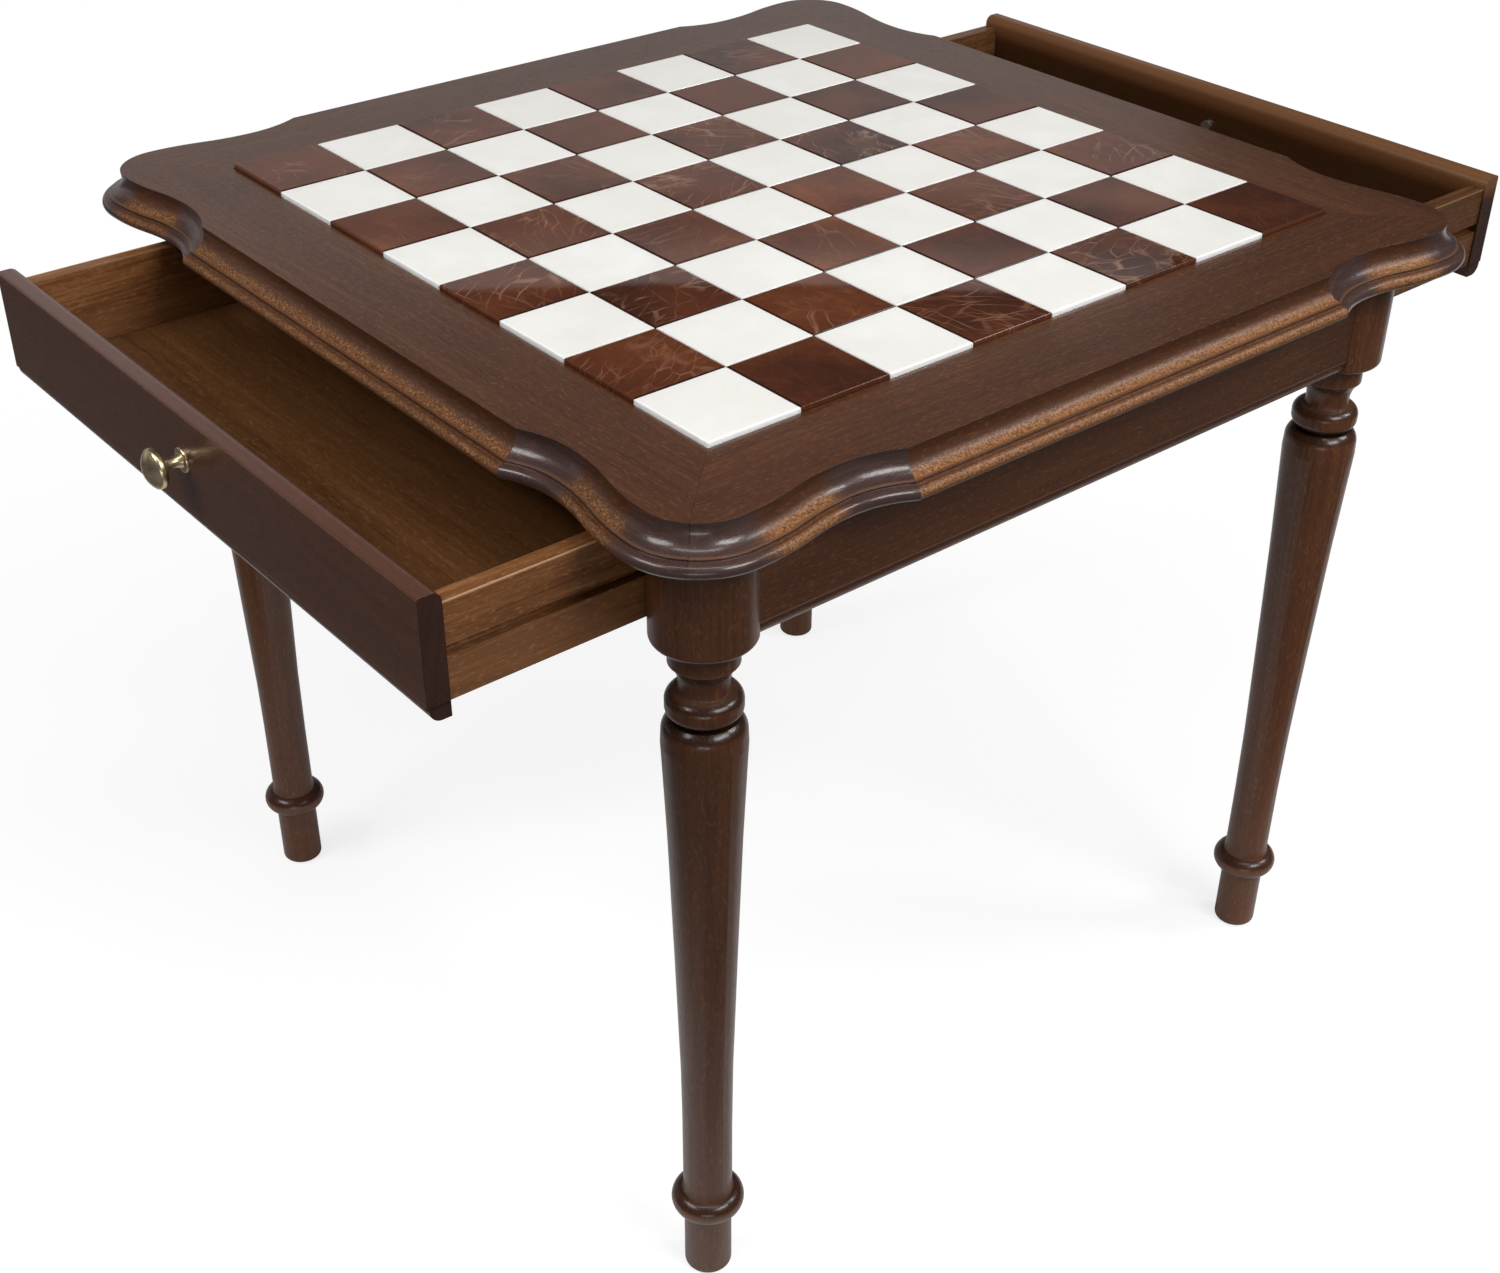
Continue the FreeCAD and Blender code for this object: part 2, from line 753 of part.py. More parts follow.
KICKER_SCREW = (dim.screw_radius, dim.screw_head_radius, dim.screw_head_height)
RUNNER_SCREW = (dim.runner_screw_radius, dim.runner_screw_head_radius, dim.runner_screw_head_height)


runner_inner = side_outer - dim.runner_groove_depth + dim.runner_clearance
runner_width = frame_inner - runner_inner
runner_height = dim.runner_groove_height - dim.runner_clearance * 2
runner_end = dim.centre_rail_thickness / 2


def runner_screw_places():
    """Distances of one runner's screws from the middle of the table."""
    first = runner_end + dim.screw_edge_distance
    last = frame_inner - dim.screw_edge_distance
    return [first + (last - first) * step / (RUNNER_SCREWS - 1) for step in range(RUNNER_SCREWS)]


def runner_screw_set(name, across, along, spare):
    """The screws of one runner, or their holes, driven outwards from its inner face."""
    turn = 0 if across > 0 else HALF_TURN
    length = runner_width + dim.screw_bite
    screws = []
    for step, far in enumerate(runner_screw_places()):
        start = (runner_inner, far * along * across, groove_middle)
        screws.append(screw(f"{name}_{step}", RUNNER_SCREW, start, length, spare, ALONG_X, turn))
    return screws


def runners():
    screws = []
    half = runner_height / 2
    for corner, (across, along) in CORNERS.items():
        label = f"runner_{corner}"
        turn = HALF_TURN if across < 0 else 0
        near, far = (runner_end, kicker_outer) if along * across > 0 else (-kicker_outer, -runner_end)
        low = (runner_inner, near, groove_middle - half)
        high = (frame_inner, far, groove_middle + half)
        blank = box(label + "_blank", low, high, turn)
        keep(label, cut(label, blank, runner_screw_set(label + "_hole", across, along, dim.fit_clearance)))
        screws += runner_screw_set(label + "_screw", across, along, ZERO)
    keep("runner_screws", group("runner_screws", screws))


def guide_boards():
    top = underside - dim.guide_drop
    half = dim.centre_rail_thickness / 2
    for side, across in (("left", -1), ("right", 1)):
        label = f"guide_board_{side}"
        turn = 0 if across > 0 else HALF_TURN
        low = (frame_inner, -frame_inner, top - dim.guide_height)
        blank = box(label + "_blank", low, (apron_inner, frame_inner, top), turn)
        housing_low = (frame_inner - dim.overrun, -half, top - dim.guide_height - dim.overrun)
        housing_high = (frame_inner + dim.centre_rail_housing, half, top + dim.overrun)
        tools = [box(label + "_housing", housing_low, housing_high, turn)]
        for along in (-1, 1):
            tools += runner_screw_set(f"{label}_hole_{along + 1}", across, along, dim.fit_clearance)
        keep(label, cut(label, blank, tools))


def centre_rail():
    """The rail between the two drawers, housed in the guide boards, which also props the bed."""
    half = dim.centre_rail_thickness / 2
    low = underside - dim.guide_drop - dim.guide_height
    middle = box("centre_rail_middle", (-frame_inner, -half, low), (frame_inner, half, underside))
    reach = frame_inner + dim.centre_rail_housing
    tongue = box("centre_rail_tongue", (-reach, -half, low), (reach, half, underside - dim.guide_drop))
    keep("centre_rail", fuse("centre_rail", [middle, tongue]))


def kicker_screw_set(name, along, spare):
    """The screws that hold the top down to one kicker rail, or their holes, driven up from below."""
    span = frame_inner - dim.kicker_dowel_length
    length = dim.kicker_thickness + dim.screw_bite
    level = (kicker_outer - dim.screw_edge_distance) * along
    screws = []
    for step in range(KICKER_SCREWS):
        at_x = span * (2 * step / (KICKER_SCREWS - 1) - 1)
        screws.append(screw(f"{name}_{step}", KICKER_SCREW, (at_x, level, kicker_bottom), length, spare))
    return screws


def kicker_rails():
    screws = []
    for end, along in (("front", -1), ("back", 1)):
        label = f"kicker_rail_{end}"
        near, far = (kicker_inner, kicker_outer) if along > 0 else (-kicker_outer, -kicker_inner)
        blank = box(label + "_blank", (-frame_inner, near, kicker_bottom), (frame_inner, far, underside))
        tools = kicker_screw_set(label + "_hole", along, dim.fit_clearance)
        for side, across in (("left", -1), ("right", 1)):
            tools += kicker_dowel_holes(f"{label}_{side}", across, along)
        keep(label, cut(label, blank, tools))
        screws += kicker_screw_set(label + "_screw", along, ZERO)
    keep("kicker_screws", group("kicker_screws", screws))


# Drawers: a box hung on the runners by grooved sides, with a moulded front that overhangs it


class Drawer:
    """One drawer, drawn closed with its front towards -Y, then pulled out and turned to its end."""

    def __init__(self, end, opening, turn):
        self.end = end
        self.opening = opening
        self.turn = turn

    def name(self, piece):
        return f"{self.end}_drawer_{piece}"

    def stand(self, piece, x, y, z, tip=None):
        return place(piece, x, y - self.opening, z, self.turn, tip)

    def board(self, name, low, high):
        return self.stand(box(name, low, high), *low)

    def rod(self, name, radius, length, start, x=ZERO, z=knob_level):
        """A round bar along Y, on the knob's axis unless placed elsewhere."""
        piece = rod(name, radius, length, (ZERO, ZERO, ZERO))
        return self.stand(piece, x, start, z, ALONG_Y)

    def dowels(self, name, across, spare):
        """The dowels from the front into one side, or their holes when given some room to spare."""
        start = -front_inner - dim.drawer_dowel_depth - spare
        at_x = (side_outer + side_inner) / 2 * across
        length = dim.drawer_dowel_length + spare * 2
        radius = dim.drawer_dowel_radius + spare
        return [
            self.rod(name + "_low", radius, length, start, at_x, (panel_top + groove_low) / 2),
            self.rod(name + "_high", radius, length, start, at_x, (groove_high + side_top) / 2),
        ]

    def front(self):
        """The moulded front, grooved for the bottom panel, softly rounded inside its top edge."""
        label = self.name("front")
        outer = -apron_outer
        inner = -front_inner
        upper_points = [
            (inner, front_top - dim.front_inner_round, ROUND_CORNER_SHARE),
            (inner - dim.front_inner_round, front_top, 0),
            (outer + dim.front_edge_round, front_top, ROUND_CORNER_SHARE),
            (outer, front_top - dim.front_edge_round, 0),
        ]
        points = bead_points(outer, inner, upper_points)
        blank = strip(label + "_blank", "YZ_Plane", points, front_half * 2)
        self.stand(blank, ZERO, ZERO, ZERO)
        way_length = dim.front_thickness + dim.overrun * 2
        way_radius = dim.knob_screw_radius + dim.fit_clearance
        tools = [self.rod(label + "_way", way_radius, way_length, outer - dim.overrun)]
        groove_reach = side_inner + dim.panel_groove_depth
        groove_low_corner = (-groove_reach, inner - dim.panel_groove_depth, panel_low)
        groove_high_corner = (groove_reach, inner + dim.overrun, panel_top + dim.fit_clearance)
        tools.append(self.board(label + "_groove", groove_low_corner, groove_high_corner))
        tools += self.dowels(label + "_left_hole", -1, dim.fit_clearance)
        tools += self.dowels(label + "_right_hole", 1, dim.fit_clearance)
        keep(label, cut(label, blank, tools))

    def dowel_set(self):
        label = self.name("dowels")
        rods = self.dowels(label + "_left", -1, ZERO) + self.dowels(label + "_right", 1, ZERO)
        keep(label, group(label, rods))

    def side(self, hand, across):
        """A side with the runner's groove outside and the bottom panel's groove inside."""
        label = self.name(f"{hand}_side")
        runner_floor = side_outer - dim.runner_groove_depth
        panel_floor = side_inner + dim.panel_groove_depth
        groove_top = panel_top + dim.fit_clearance
        points = [
            (side_inner, side_bottom, 0),
            (side_outer, side_bottom, 0),
            (side_outer, groove_low, 0),
            (runner_floor, groove_low, 0),
            (runner_floor, groove_high, 0),
            (side_outer, groove_high, 0),
            (side_outer, side_top, 0),
            (side_inner, side_top, 0),
            (side_inner, groove_top, 0),
            (panel_floor, groove_top, 0),
            (panel_floor, panel_low, 0),
            (side_inner, panel_low, 0),
        ]
        points = [(x * across, y, bow) for x, y, bow in points]
        blank = strip(label + "_blank", "XZ_Plane", points, front_inner - drawer_end)
        self.stand(blank, ZERO, -(front_inner + drawer_end) / 2, ZERO)
        keep(label, cut(label, blank, self.dowels(label + "_hole", across, dim.fit_clearance)))

    def back(self):
        """The back stands on the bottom panel, and higher than the sides, so that it meets the kicker."""
        label = self.name("back")
        low = (-side_inner, -drawer_end - dim.side_thickness, panel_top)
        high = (side_inner, -drawer_end, underside - dim.stop_top_gap)
        keep(label, self.board(label, low, high))

    def bottom(self):
        label = self.name("bottom")
        reach = side_inner + dim.panel_groove_depth - dim.fit_clearance
        front_edge = front_inner + dim.panel_groove_depth - dim.fit_clearance
        keep(label, self.board(label, (-reach, -front_edge, panel_low), (reach, -drawer_end, panel_top)))

    def knob(self):
        """A turned brass knob: flange, waisted stem and domed cap, drilled for its screw."""
        label = self.name("knob")
        cap_foot = dim.knob_length - dim.knob_cap_height
        rim = cap_foot + dim.knob_rim_round
        bore = dim.knob_screw_radius + dim.fit_clearance
        points = [
            (bore, ZERO, 0),
            (dim.knob_flange_radius, ZERO, 0),
            (dim.knob_flange_radius, dim.knob_flange_height / 2, ROUND_CORNER_SHARE),
            (dim.knob_flange_radius - dim.knob_flange_height / 2, dim.knob_flange_height, 0),
            (dim.knob_stem_radius, dim.knob_flange_height, -STEM_HOLLOW_SHARE),
            (dim.knob_stem_radius, cap_foot, 0),
            (dim.knob_radius - dim.knob_rim_round, cap_foot, ROUND_CORNER_SHARE),
            (dim.knob_radius, rim, RIM_TURN_SHARE),
            (dim.knob_radius * (1 - RIM_INSET_SHARE), rim + dim.knob_rim_round, DOME),
            (ZERO, dim.knob_length, 0),
            (ZERO, dim.knob_thread_depth, 0),
            (bore, dim.knob_thread_depth, 0),
        ]
        body = turned(label, points)
        tip = Rotation(Vector(1, 0, 0), QUARTER_TURN)
        keep(label, self.stand(body, ZERO, -apron_outer, knob_level, tip))

    def knob_screw(self):
        """The screw that comes through the front into the knob."""
        label = self.name("knob_screw")
        length = dim.front_thickness + dim.knob_thread_depth - dim.overrun
        shank = self.rod(label + "_shank", dim.knob_screw_radius, length, -front_inner - length)
        head = self.rod(label + "_head", dim.knob_screw_head_radius, dim.knob_screw_head_height, -front_inner)
        keep(label, fuse(label, [shank, head]))

    def build(self):
        self.front()
        self.dowel_set()
        self.side("left", -1)
        self.side("right", 1)
        self.back()
        self.bottom()
        self.knob()
        self.knob_screw()


top_holes = kicker_screw_set("top_hole_front", -1, dim.fit_clearance)
top_holes += kicker_screw_set("top_hole_back", 1, dim.fit_clearance)
board_bed(top_holes)
tile_set("brown_tiles", 0)
tile_set("white_tiles", 1)
border(top_holes)
legs()
aprons()
dowel_sets()
runners()
guide_boards()
centre_rail()
kicker_rails()
Drawer("front", drawer_travel * FRONT_OPEN_SHARE, 0).build()
Drawer("back", drawer_travel * BACK_OPEN_SHARE, HALF_TURN).build()

doc.recompute()
for item in doc.Objects:
    if "Invalid" in item.State or "Error" in item.State:
        raise RuntimeError(f"{item.Label} failed to build: {item.State}")
for label, piece in parts.items():
    if piece.Shape.isNull() or not piece.Shape.isValid() or not piece.Shape.Solids:
        raise RuntimeError(f"{label} has no sound solid")

os.makedirs("parts", exist_ok=True)
for label, piece in parts.items():
    piece.Shape.exportStep(f"parts/{label}.step")
print(len(parts), "pieces written")
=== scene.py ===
import math

import bpy
from mathutils import Euler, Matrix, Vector

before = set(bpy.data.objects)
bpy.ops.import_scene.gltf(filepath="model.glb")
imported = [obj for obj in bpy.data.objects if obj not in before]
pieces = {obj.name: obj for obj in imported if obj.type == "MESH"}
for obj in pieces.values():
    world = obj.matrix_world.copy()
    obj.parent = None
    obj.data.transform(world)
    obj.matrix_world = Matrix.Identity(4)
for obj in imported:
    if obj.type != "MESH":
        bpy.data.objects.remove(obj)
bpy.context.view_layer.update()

# Lengths of the table that its finishes follow, in metres
MM = 0.001
SQUARE = 0.057
BOARD_HALF = 4 * SQUARE
LEG_AXIS = 0.242
BORDER_UNDERSIDE = 0.5085
BORDER_THICKNESS = 0.022
BORDER_TOP = BORDER_UNDERSIDE + BORDER_THICKNESS
BORDER_SIDE = 0.2843
BORDER_TURN = 0.1555

# A soft step from one side of a line to the other
SOFT_STEP = (-0.01, 0.01)


class Wire:
    """One socket of a finish's nodes, which takes part in sums like a number."""

    def __init__(self, finish, socket):
        self.finish = finish
        self.socket = socket

    def sum(self, operation, first, second=0.0):
        return self.finish.node("ShaderNodeMath", {"operation": operation}, {0: first, 1: second})

    def __add__(self, other):
        return self.sum("ADD", self, other)

    def __radd__(self, other):
        return self.sum("ADD", other, self)

    def __sub__(self, other):
        return self.sum("SUBTRACT", self, other)

    def __rsub__(self, other):
        return self.sum("SUBTRACT", other, self)

    def __mul__(self, other):
        return self.sum("MULTIPLY", self, other)

    def __rmul__(self, other):
        return self.sum("MULTIPLY", other, self)

    def __truediv__(self, other):
        return self.sum("DIVIDE", self, other)

    def __rtruediv__(self, other):
        return self.sum("DIVIDE", other, self)

    def __pow__(self, other):
        return self.sum("POWER", self, other)

    def __abs__(self):
        return self.sum("ABSOLUTE", self)

    def floor(self):
        return self.sum("FLOOR", self)

    def sign(self):
        return self.sum("SIGN", self)

    def least(self, other):
        return self.sum("MINIMUM", self, other)

    def most(self, other):
        return self.sum("MAXIMUM", self, other)

    def rise(self, start, end):
        """0 before start and 1 after end, with a smooth step between them."""
        settings = {"interpolation_type": "SMOOTHSTEP"}
        inputs = {0: self, 1: start, 2: end, 3: 0.0, 4: 1.0}
        return self.finish.node("ShaderNodeMapRange", settings, inputs)

    def fall(self, start, end):
        """1 before start and 0 after end."""
        return 1 - self.rise(start, end)

    def line(self, level, width):
        """1 where the value is near a level, falling to 0 at a width from it."""
        return abs(self - level).fall(0.0, width)

    def lines(self, levels):
        """The strongest of several lines, each given by its level and width."""
        strongest = self.line(*levels[0])
        for level in levels[1:]:
            strongest = strongest.most(self.line(*level))
        return strongest


class Finish:
    """The nodes of a material or of the world, written as sums of wires."""

    def __init__(self, owner):
        self.owner = owner
        owner.use_nodes = True
        self.tree = owner.node_tree
        self.tree.nodes.clear()

    def node(self, kind, settings=None, inputs=None, output=0):
        piece = self.tree.nodes.new(kind)
        for key, value in (settings or {}).items():
            setattr(piece, key, value)
        for key, value in (inputs or {}).items():
            socket = piece.inputs[key]
            if isinstance(value, Wire):
                self.tree.links.new(value.socket, socket)
            elif isinstance(value, tuple) and len(value) == 3 and len(socket.default_value) == 4:
                socket.default_value = (*value, 1.0)
            else:
                socket.default_value = value
        return Wire(self, piece.outputs[output]) if piece.outputs else None

    def place(self):
        """The point of the piece itself, in metres, which moves with it."""
        return self.node("ShaderNodeTexCoord", output="Object")

    def facing(self):
        return self.node("ShaderNodeTexCoord", output="Normal")

    def split(self, vector):
        splitter = self.node("ShaderNodeSeparateXYZ", inputs={0: vector})
        outputs = splitter.socket.node.outputs
        return [Wire(self, outputs[axis]) for axis in range(3)]

    def join(self, x, y, z):
        return self.node("ShaderNodeCombineXYZ", inputs={0: x, 1: y, 2: z})

    def shift(self, vector, other):
        return self.node("ShaderNodeVectorMath", {"operation": "ADD"}, {0: vector, 1: other})

    def stretch(self, vector, factors):
        return self.node("ShaderNodeVectorMath", {"operation": "MULTIPLY"}, {0: vector, 1: factors})

    def cloud(self, vector, scale=1.0, detail=3.0, roughness=0.55):
        inputs = {"Vector": vector, "Scale": scale, "Detail": detail, "Roughness": roughness}
        return self.node("ShaderNodeTexNoise", inputs=inputs)

    def cloud_shift(self, vector, scale, amount):
        """The vector pushed about by a cloud, for wandering lines."""
        inputs = {"Vector": vector, "Scale": scale, "Detail": 2.0}
        cloud = self.node("ShaderNodeTexNoise", inputs=inputs, output="Color")
        centred = self.shift(cloud, (-0.5, -0.5, -0.5))
        return self.shift(vector, self.stretch(centred, (amount, amount, amount)))

    def chances(self, vector):
        """Three chance numbers in one vector, which stay the same for the same vector."""
        return self.node("ShaderNodeTexWhiteNoise", inputs={"Vector": vector}, output="Color")

    def mix(self, factor, first, second):
        inputs = {0: factor, 6: first, 7: second}
        return self.node("ShaderNodeMix", {"data_type": "RGBA"}, inputs, output=2)

    def stain(self, color, where, stain):
        """The colour with a stain over it where a mask is 1. A stain is a share and a tone."""
        share, tone = stain
        return self.mix(where * share, color, tone)

    def relief(self, height, distance, normal=None):
        inputs = {"Height": height, "Strength": 1.0, "Distance": distance}
        if normal:
            inputs["Normal"] = normal
        return self.node("ShaderNodeBump", inputs=inputs)

    def eased_edges(self, radius):
        return self.node("ShaderNodeBevel", {"samples": 4}, {"Radius": radius})

    def coat(self, constants, color, roughness, relief, lacquer=None):
        """Close the finish with one surface shader."""
        inputs = {**constants, "Base Color": color, "Roughness": roughness, "Normal": relief}
        if lacquer:
            inputs["Coat Weight"] = lacquer
        shader = self.node("ShaderNodeBsdfPrincipled", inputs=inputs)
        self.node("ShaderNodeOutputMaterial", inputs={"Surface": shader})
        return self.owner


def paint(name, material):
    piece = pieces[name]
    for slot in range(len(piece.material_slots)):
        piece.material_slots[slot].material = material


# Wood: stained and lacquered, with the grain along one axis of the table

AXES = {"x": 0, "y": 1, "z": 2}

# Each wood's dark, middle, light and end-grain tones
WALNUT_STAIN = (
    (0.036, 0.0108, 0.0036),
    (0.066, 0.0215, 0.0075),
    (0.140, 0.0520, 0.0185),
    (0.043, 0.0255, 0.0235),
)
LEG_STAIN = (
    (0.042, 0.0138, 0.0050),
    (0.076, 0.0258, 0.0090),
    (0.130, 0.0500, 0.0190),
    (0.030, 0.0115, 0.0064),
)
FRONT_STAIN = (
    (0.040, 0.0116, 0.0042),
    (0.066, 0.0196, 0.0068),
    (0.100, 0.0335, 0.0125),
    (0.022, 0.0085, 0.0055),
)
DRAWER_STAIN = (
    (0.080, 0.0265, 0.0070),
    (0.156, 0.0580, 0.0172),
    (0.310, 0.1350, 0.0510),
    (0.050, 0.0195, 0.0085),
)
INSIDE_STAIN = (
    (0.052, 0.0182, 0.0048),
    (0.100, 0.0395, 0.0124),
    (0.168, 0.0720, 0.0255),
    (0.040, 0.0170, 0.0070),
)
FRAME_STAIN = (
    (0.035, 0.0150, 0.0070),
    (0.085, 0.0380, 0.0180),
    (0.150, 0.0720, 0.0350),
    (0.050, 0.0240, 0.0120),
)
BARE_BEECH = (
    (0.320, 0.2000, 0.1100),
    (0.480, 0.3200, 0.1900),
    (0.600, 0.4300, 0.2800),
    (0.360, 0.2300, 0.1300),
)

# Levels of the figure, from 0 to 1, where one tone goes over into the next
DARK_TO_MIDDLE = (0.10, 0.55)
MIDDLE_TO_LIGHT = (0.48, 1.0)
END_DARK_TO_LIGHT = (0.25, 0.85)
# The end grain's light tone as a multiple of its dark tone; on the border's scooped runs it also paints
# their sheen
END_LIGHT = 1.7

# Figure: how often it changes in a metre along the grain, and in a metre across it
WANDER = (2.2, 9.0)
BANDS = (1.8, 26.0)
FIBRES = (16.0, 460.0)
PORES = (170.0, 1500.0)
FLECKS = (220.0, 760.0)
WORN_PATCHES = (14.0, 14.0, 14.0)
FIBRE_WANDER = 8.0
SPECKS = (0.56, 0.72)

# How much each part of the figure shows in the colour
BAND_SHOW = 1.3
FIBRE_SHOW = 1.6
FLECK_SHOW = 0.60
PORE_SHOW = 0.55
END_GRAIN_SHOW = 0.88

# Growth rings: the tree's heart across the grain, the rings' spacing and how much they show
FRONT_RINGS = (0.0, 0.4000, 2.2 * MM, 0.5)
BOTTOM_RINGS = (0.02, 0.30, 10.0 * MM, 0.4)
LEG_HEART = (21.0 * MM, -16.0 * MM)
LEG_RINGS = (2.6 * MM, 0.5)
RING_WANDER = 0.010
RING_DRIFT = 0.8

# End grain shows where a face turns towards the grain's end. The scooped runs of the border get the end
# grain's darker, greyer colour from a smaller turn on, up to the slanting line where the straight begins;
# on them it is partly end grain and partly painted shade and painted sheen.
END_GRAIN_TURN = (0.27, 0.45)
SCOOP_TURN = (-0.13, -0.02)
STANDING_FACE = (0.15, 0.35)
STANDING_LEAST = 0.1
FLAT_FACE = (0.93, 0.99)
TURN_SLOPE = 0.26
TURN_BLUR = (-0.4 * MM, 0.4 * MM)

# Lacquer: its roughness and weight, and what wear, pores, end grain and rubbing do to them
LACQUER = {"Specular IOR Level": 0.34, "Coat Roughness": 0.14, "Coat IOR": 1.45}
WORN_ROUGHNESS = 0.12
PORE_ROUGHNESS = 0.10
RUBBED_ROUGHNESS = 0.10
END_GRAIN_POLISH = 0.06
COAT_LEAST = 0.14
COAT_WORN = 0.16
COAT_FLAT = 1.5
COAT_END_GRAIN = 0.8
COAT_RUBBED = 0.85
FIBRE_HEIGHT = 0.4
PORE_DEPTH = 0.6
GRAIN_RELIEF = 0.05 * MM
EDGE_EASE = 0.7 * MM


class Wood:
    """Where a point of a piece of wood lies in its grain."""

    def __init__(self, name, along, seed, moulded):
        self.finish = Finish(bpy.data.materials.new(name))
        self.seed = seed
        self.place = self.finish.place()
        self.spot = self.finish.split(self.place)
        self.facing = self.finish.split(self.finish.facing())
        axis = AXES[along]
        self.length = self.spot[axis]
        self.sides = [self.spot[other] for other in range(3) if other != axis]
        towards_end = self.facing[axis]
        if moulded:
            self.end_grain = self.end_grain_with_scoop_shade(towards_end)
        else:
            self.end_grain = abs(towards_end).rise(*END_GRAIN_TURN)

    def end_grain_with_scoop_shade(self, towards_end):
        """End grain of a border rail, with the painted shade and sheen of its scooped runs."""
        upward = self.facing[2]
        standing = (1 - upward * upward) ** 0.5
        turned = towards_end * self.length.sign() / standing.most(STANDING_LEAST)
        reach = abs(self.sides[0]) - BORDER_SIDE
        past_turn = abs(self.length) - reach * TURN_SLOPE - BORDER_TURN
        # The scooped runs get the end grain's colour as painted shade and painted sheen
        scoop_shade_and_sheen = turned.rise(*SCOOP_TURN) * past_turn.rise(*TURN_BLUR)
        return turned.rise(*END_GRAIN_TURN).most(scoop_shade_and_sheen) * standing.rise(*STANDING_FACE)

    def drawn(self, changes, wander=None):
        """The point, drawn out along the grain for one part of the figure."""
        along, across = changes
        sides = [side * across for side in self.sides]
        if wander:
            sides = [side + wander for side in sides]
        return self.finish.join(self.length * along + self.seed, *sides)

    def growth_rings(self, rings, wander):
        heart_a, heart_b, spacing, show = rings
        apart_a = self.sides[0] - heart_a + wander * RING_WANDER
        apart_b = self.sides[1] - heart_b
        reach = (apart_a * apart_a + apart_b * apart_b) ** 0.5 + wander * (2.0 * spacing)
        turns = self.finish.join(reach / spacing, self.length * RING_DRIFT, self.seed)
        return (self.finish.cloud(turns, detail=1.0) - 0.5) * show


def stained_wood(name, along, tones, gloss, streak, seed, rings=None, marks=None, moulded=False):
    """A stained wood with its grain along an axis, and the marks that its own piece shows."""
    dark, middle, light, end_dark = tones
    wood = Wood(name, along, seed, moulded)
    finish = wood.finish
    end_grain = wood.end_grain
    wander = finish.cloud(wood.drawn(WANDER), detail=2.0) - 0.5
    bands = finish.cloud(wood.drawn(BANDS, wander), detail=2.0)
    fibres = finish.cloud(wood.drawn(FIBRES, wander * FIBRE_WANDER), detail=3.0, roughness=0.6)
    pores = finish.cloud(wood.drawn(PORES), detail=1.0).rise(*SPECKS)
    flecks = finish.cloud(wood.drawn(FLECKS), detail=1.0).rise(*SPECKS)
    level = 0.5 + (bands - 0.5) * (BAND_SHOW * streak) + (fibres - 0.5) * (FIBRE_SHOW * streak)
    if rings:
        level = level + wood.growth_rings(rings, wander)

    color = finish.mix(level.rise(*DARK_TO_MIDDLE), dark, middle)
    color = finish.mix(level.rise(*MIDDLE_TO_LIGHT), color, light)
    color = finish.mix(flecks * (1 - end_grain) * FLECK_SHOW, color, light)
    color = finish.mix(pores * PORE_SHOW, color, dark)
    end_light = tuple(END_LIGHT * part for part in end_dark)
    end_color = finish.mix(level.rise(*END_DARK_TO_LIGHT), end_dark, end_light)
    color = finish.mix(end_grain * END_GRAIN_SHOW, color, end_color)
    if marks:
        color = marks(wood, color)

    worn = finish.cloud(finish.stretch(wood.place, WORN_PATCHES))
    roughness = gloss + (worn - 0.5) * WORN_ROUGHNESS + pores * PORE_ROUGHNESS
    roughness = roughness - end_grain * END_GRAIN_POLISH
    lacquer = COAT_LEAST + worn * COAT_WORN
    if moulded:
        flat = wood.facing[2].rise(*FLAT_FACE)
        rubbed = 1 - flat.most(end_grain)
        roughness = roughness + rubbed * RUBBED_ROUGHNESS
        lacquer = lacquer * (1 + flat * COAT_FLAT + end_grain * COAT_END_GRAIN - rubbed * COAT_RUBBED)
    grain = fibres * FIBRE_HEIGHT - pores * PORE_DEPTH
    relief = finish.relief(grain, GRAIN_RELIEF, finish.eased_edges(EDGE_EASE))
    return finish.coat(LACQUER, color, roughness, relief, lacquer)


# Marks on the border: levels and widths are shares of its thickness, down from its top
COVE_FOOT_START = (0.36, 0.56)
COVE_FOOT_END = (0.60, 0.62)
BEAD_CROWN = (0.79, 0.17)
QUIRK = (0.650, 0.020)
LIP_SHADE = (0.06, 0.22)
LIP_SHADE_SHARE = 0.5
COVE_ARRIS = (0.604, 0.015)
MITRE_WIDTH = 0.7 * MM
GRIT = (800.0, 2.0, 0.65)
DARK_GRAINS = (0.51, 0.61)
PALE_GRAINS = (0.36, 0.45)

# Their stains and painted light. The side rails' crowns get more painted light, and the end grain holds
# less grit.
RUBBED_AND_LIT_GOLD = (0.270, 0.1150, 0.0400)
RUBBED_AND_LIT_SHARE = 0.42
SIDE_RAIL_PAINTED_LIGHT = 0.38
GRIT_DARK = (0.055, 0.0185, 0.0064)
GRIT_SHARE = 0.70
GRIT_LESS = 0.50
GRIT_PALE = (0.55, (0.420, 0.2150, 0.0900))
QUIRK_PAINTED_SHADE = (0.60, (0.016, 0.0065, 0.0035))
COVE_ARRIS_HIGHLIGHT = (0.50, (0.270, 0.1600, 0.0900))
MITRE_DARK = (0.55, (0.022, 0.009, 0.005))


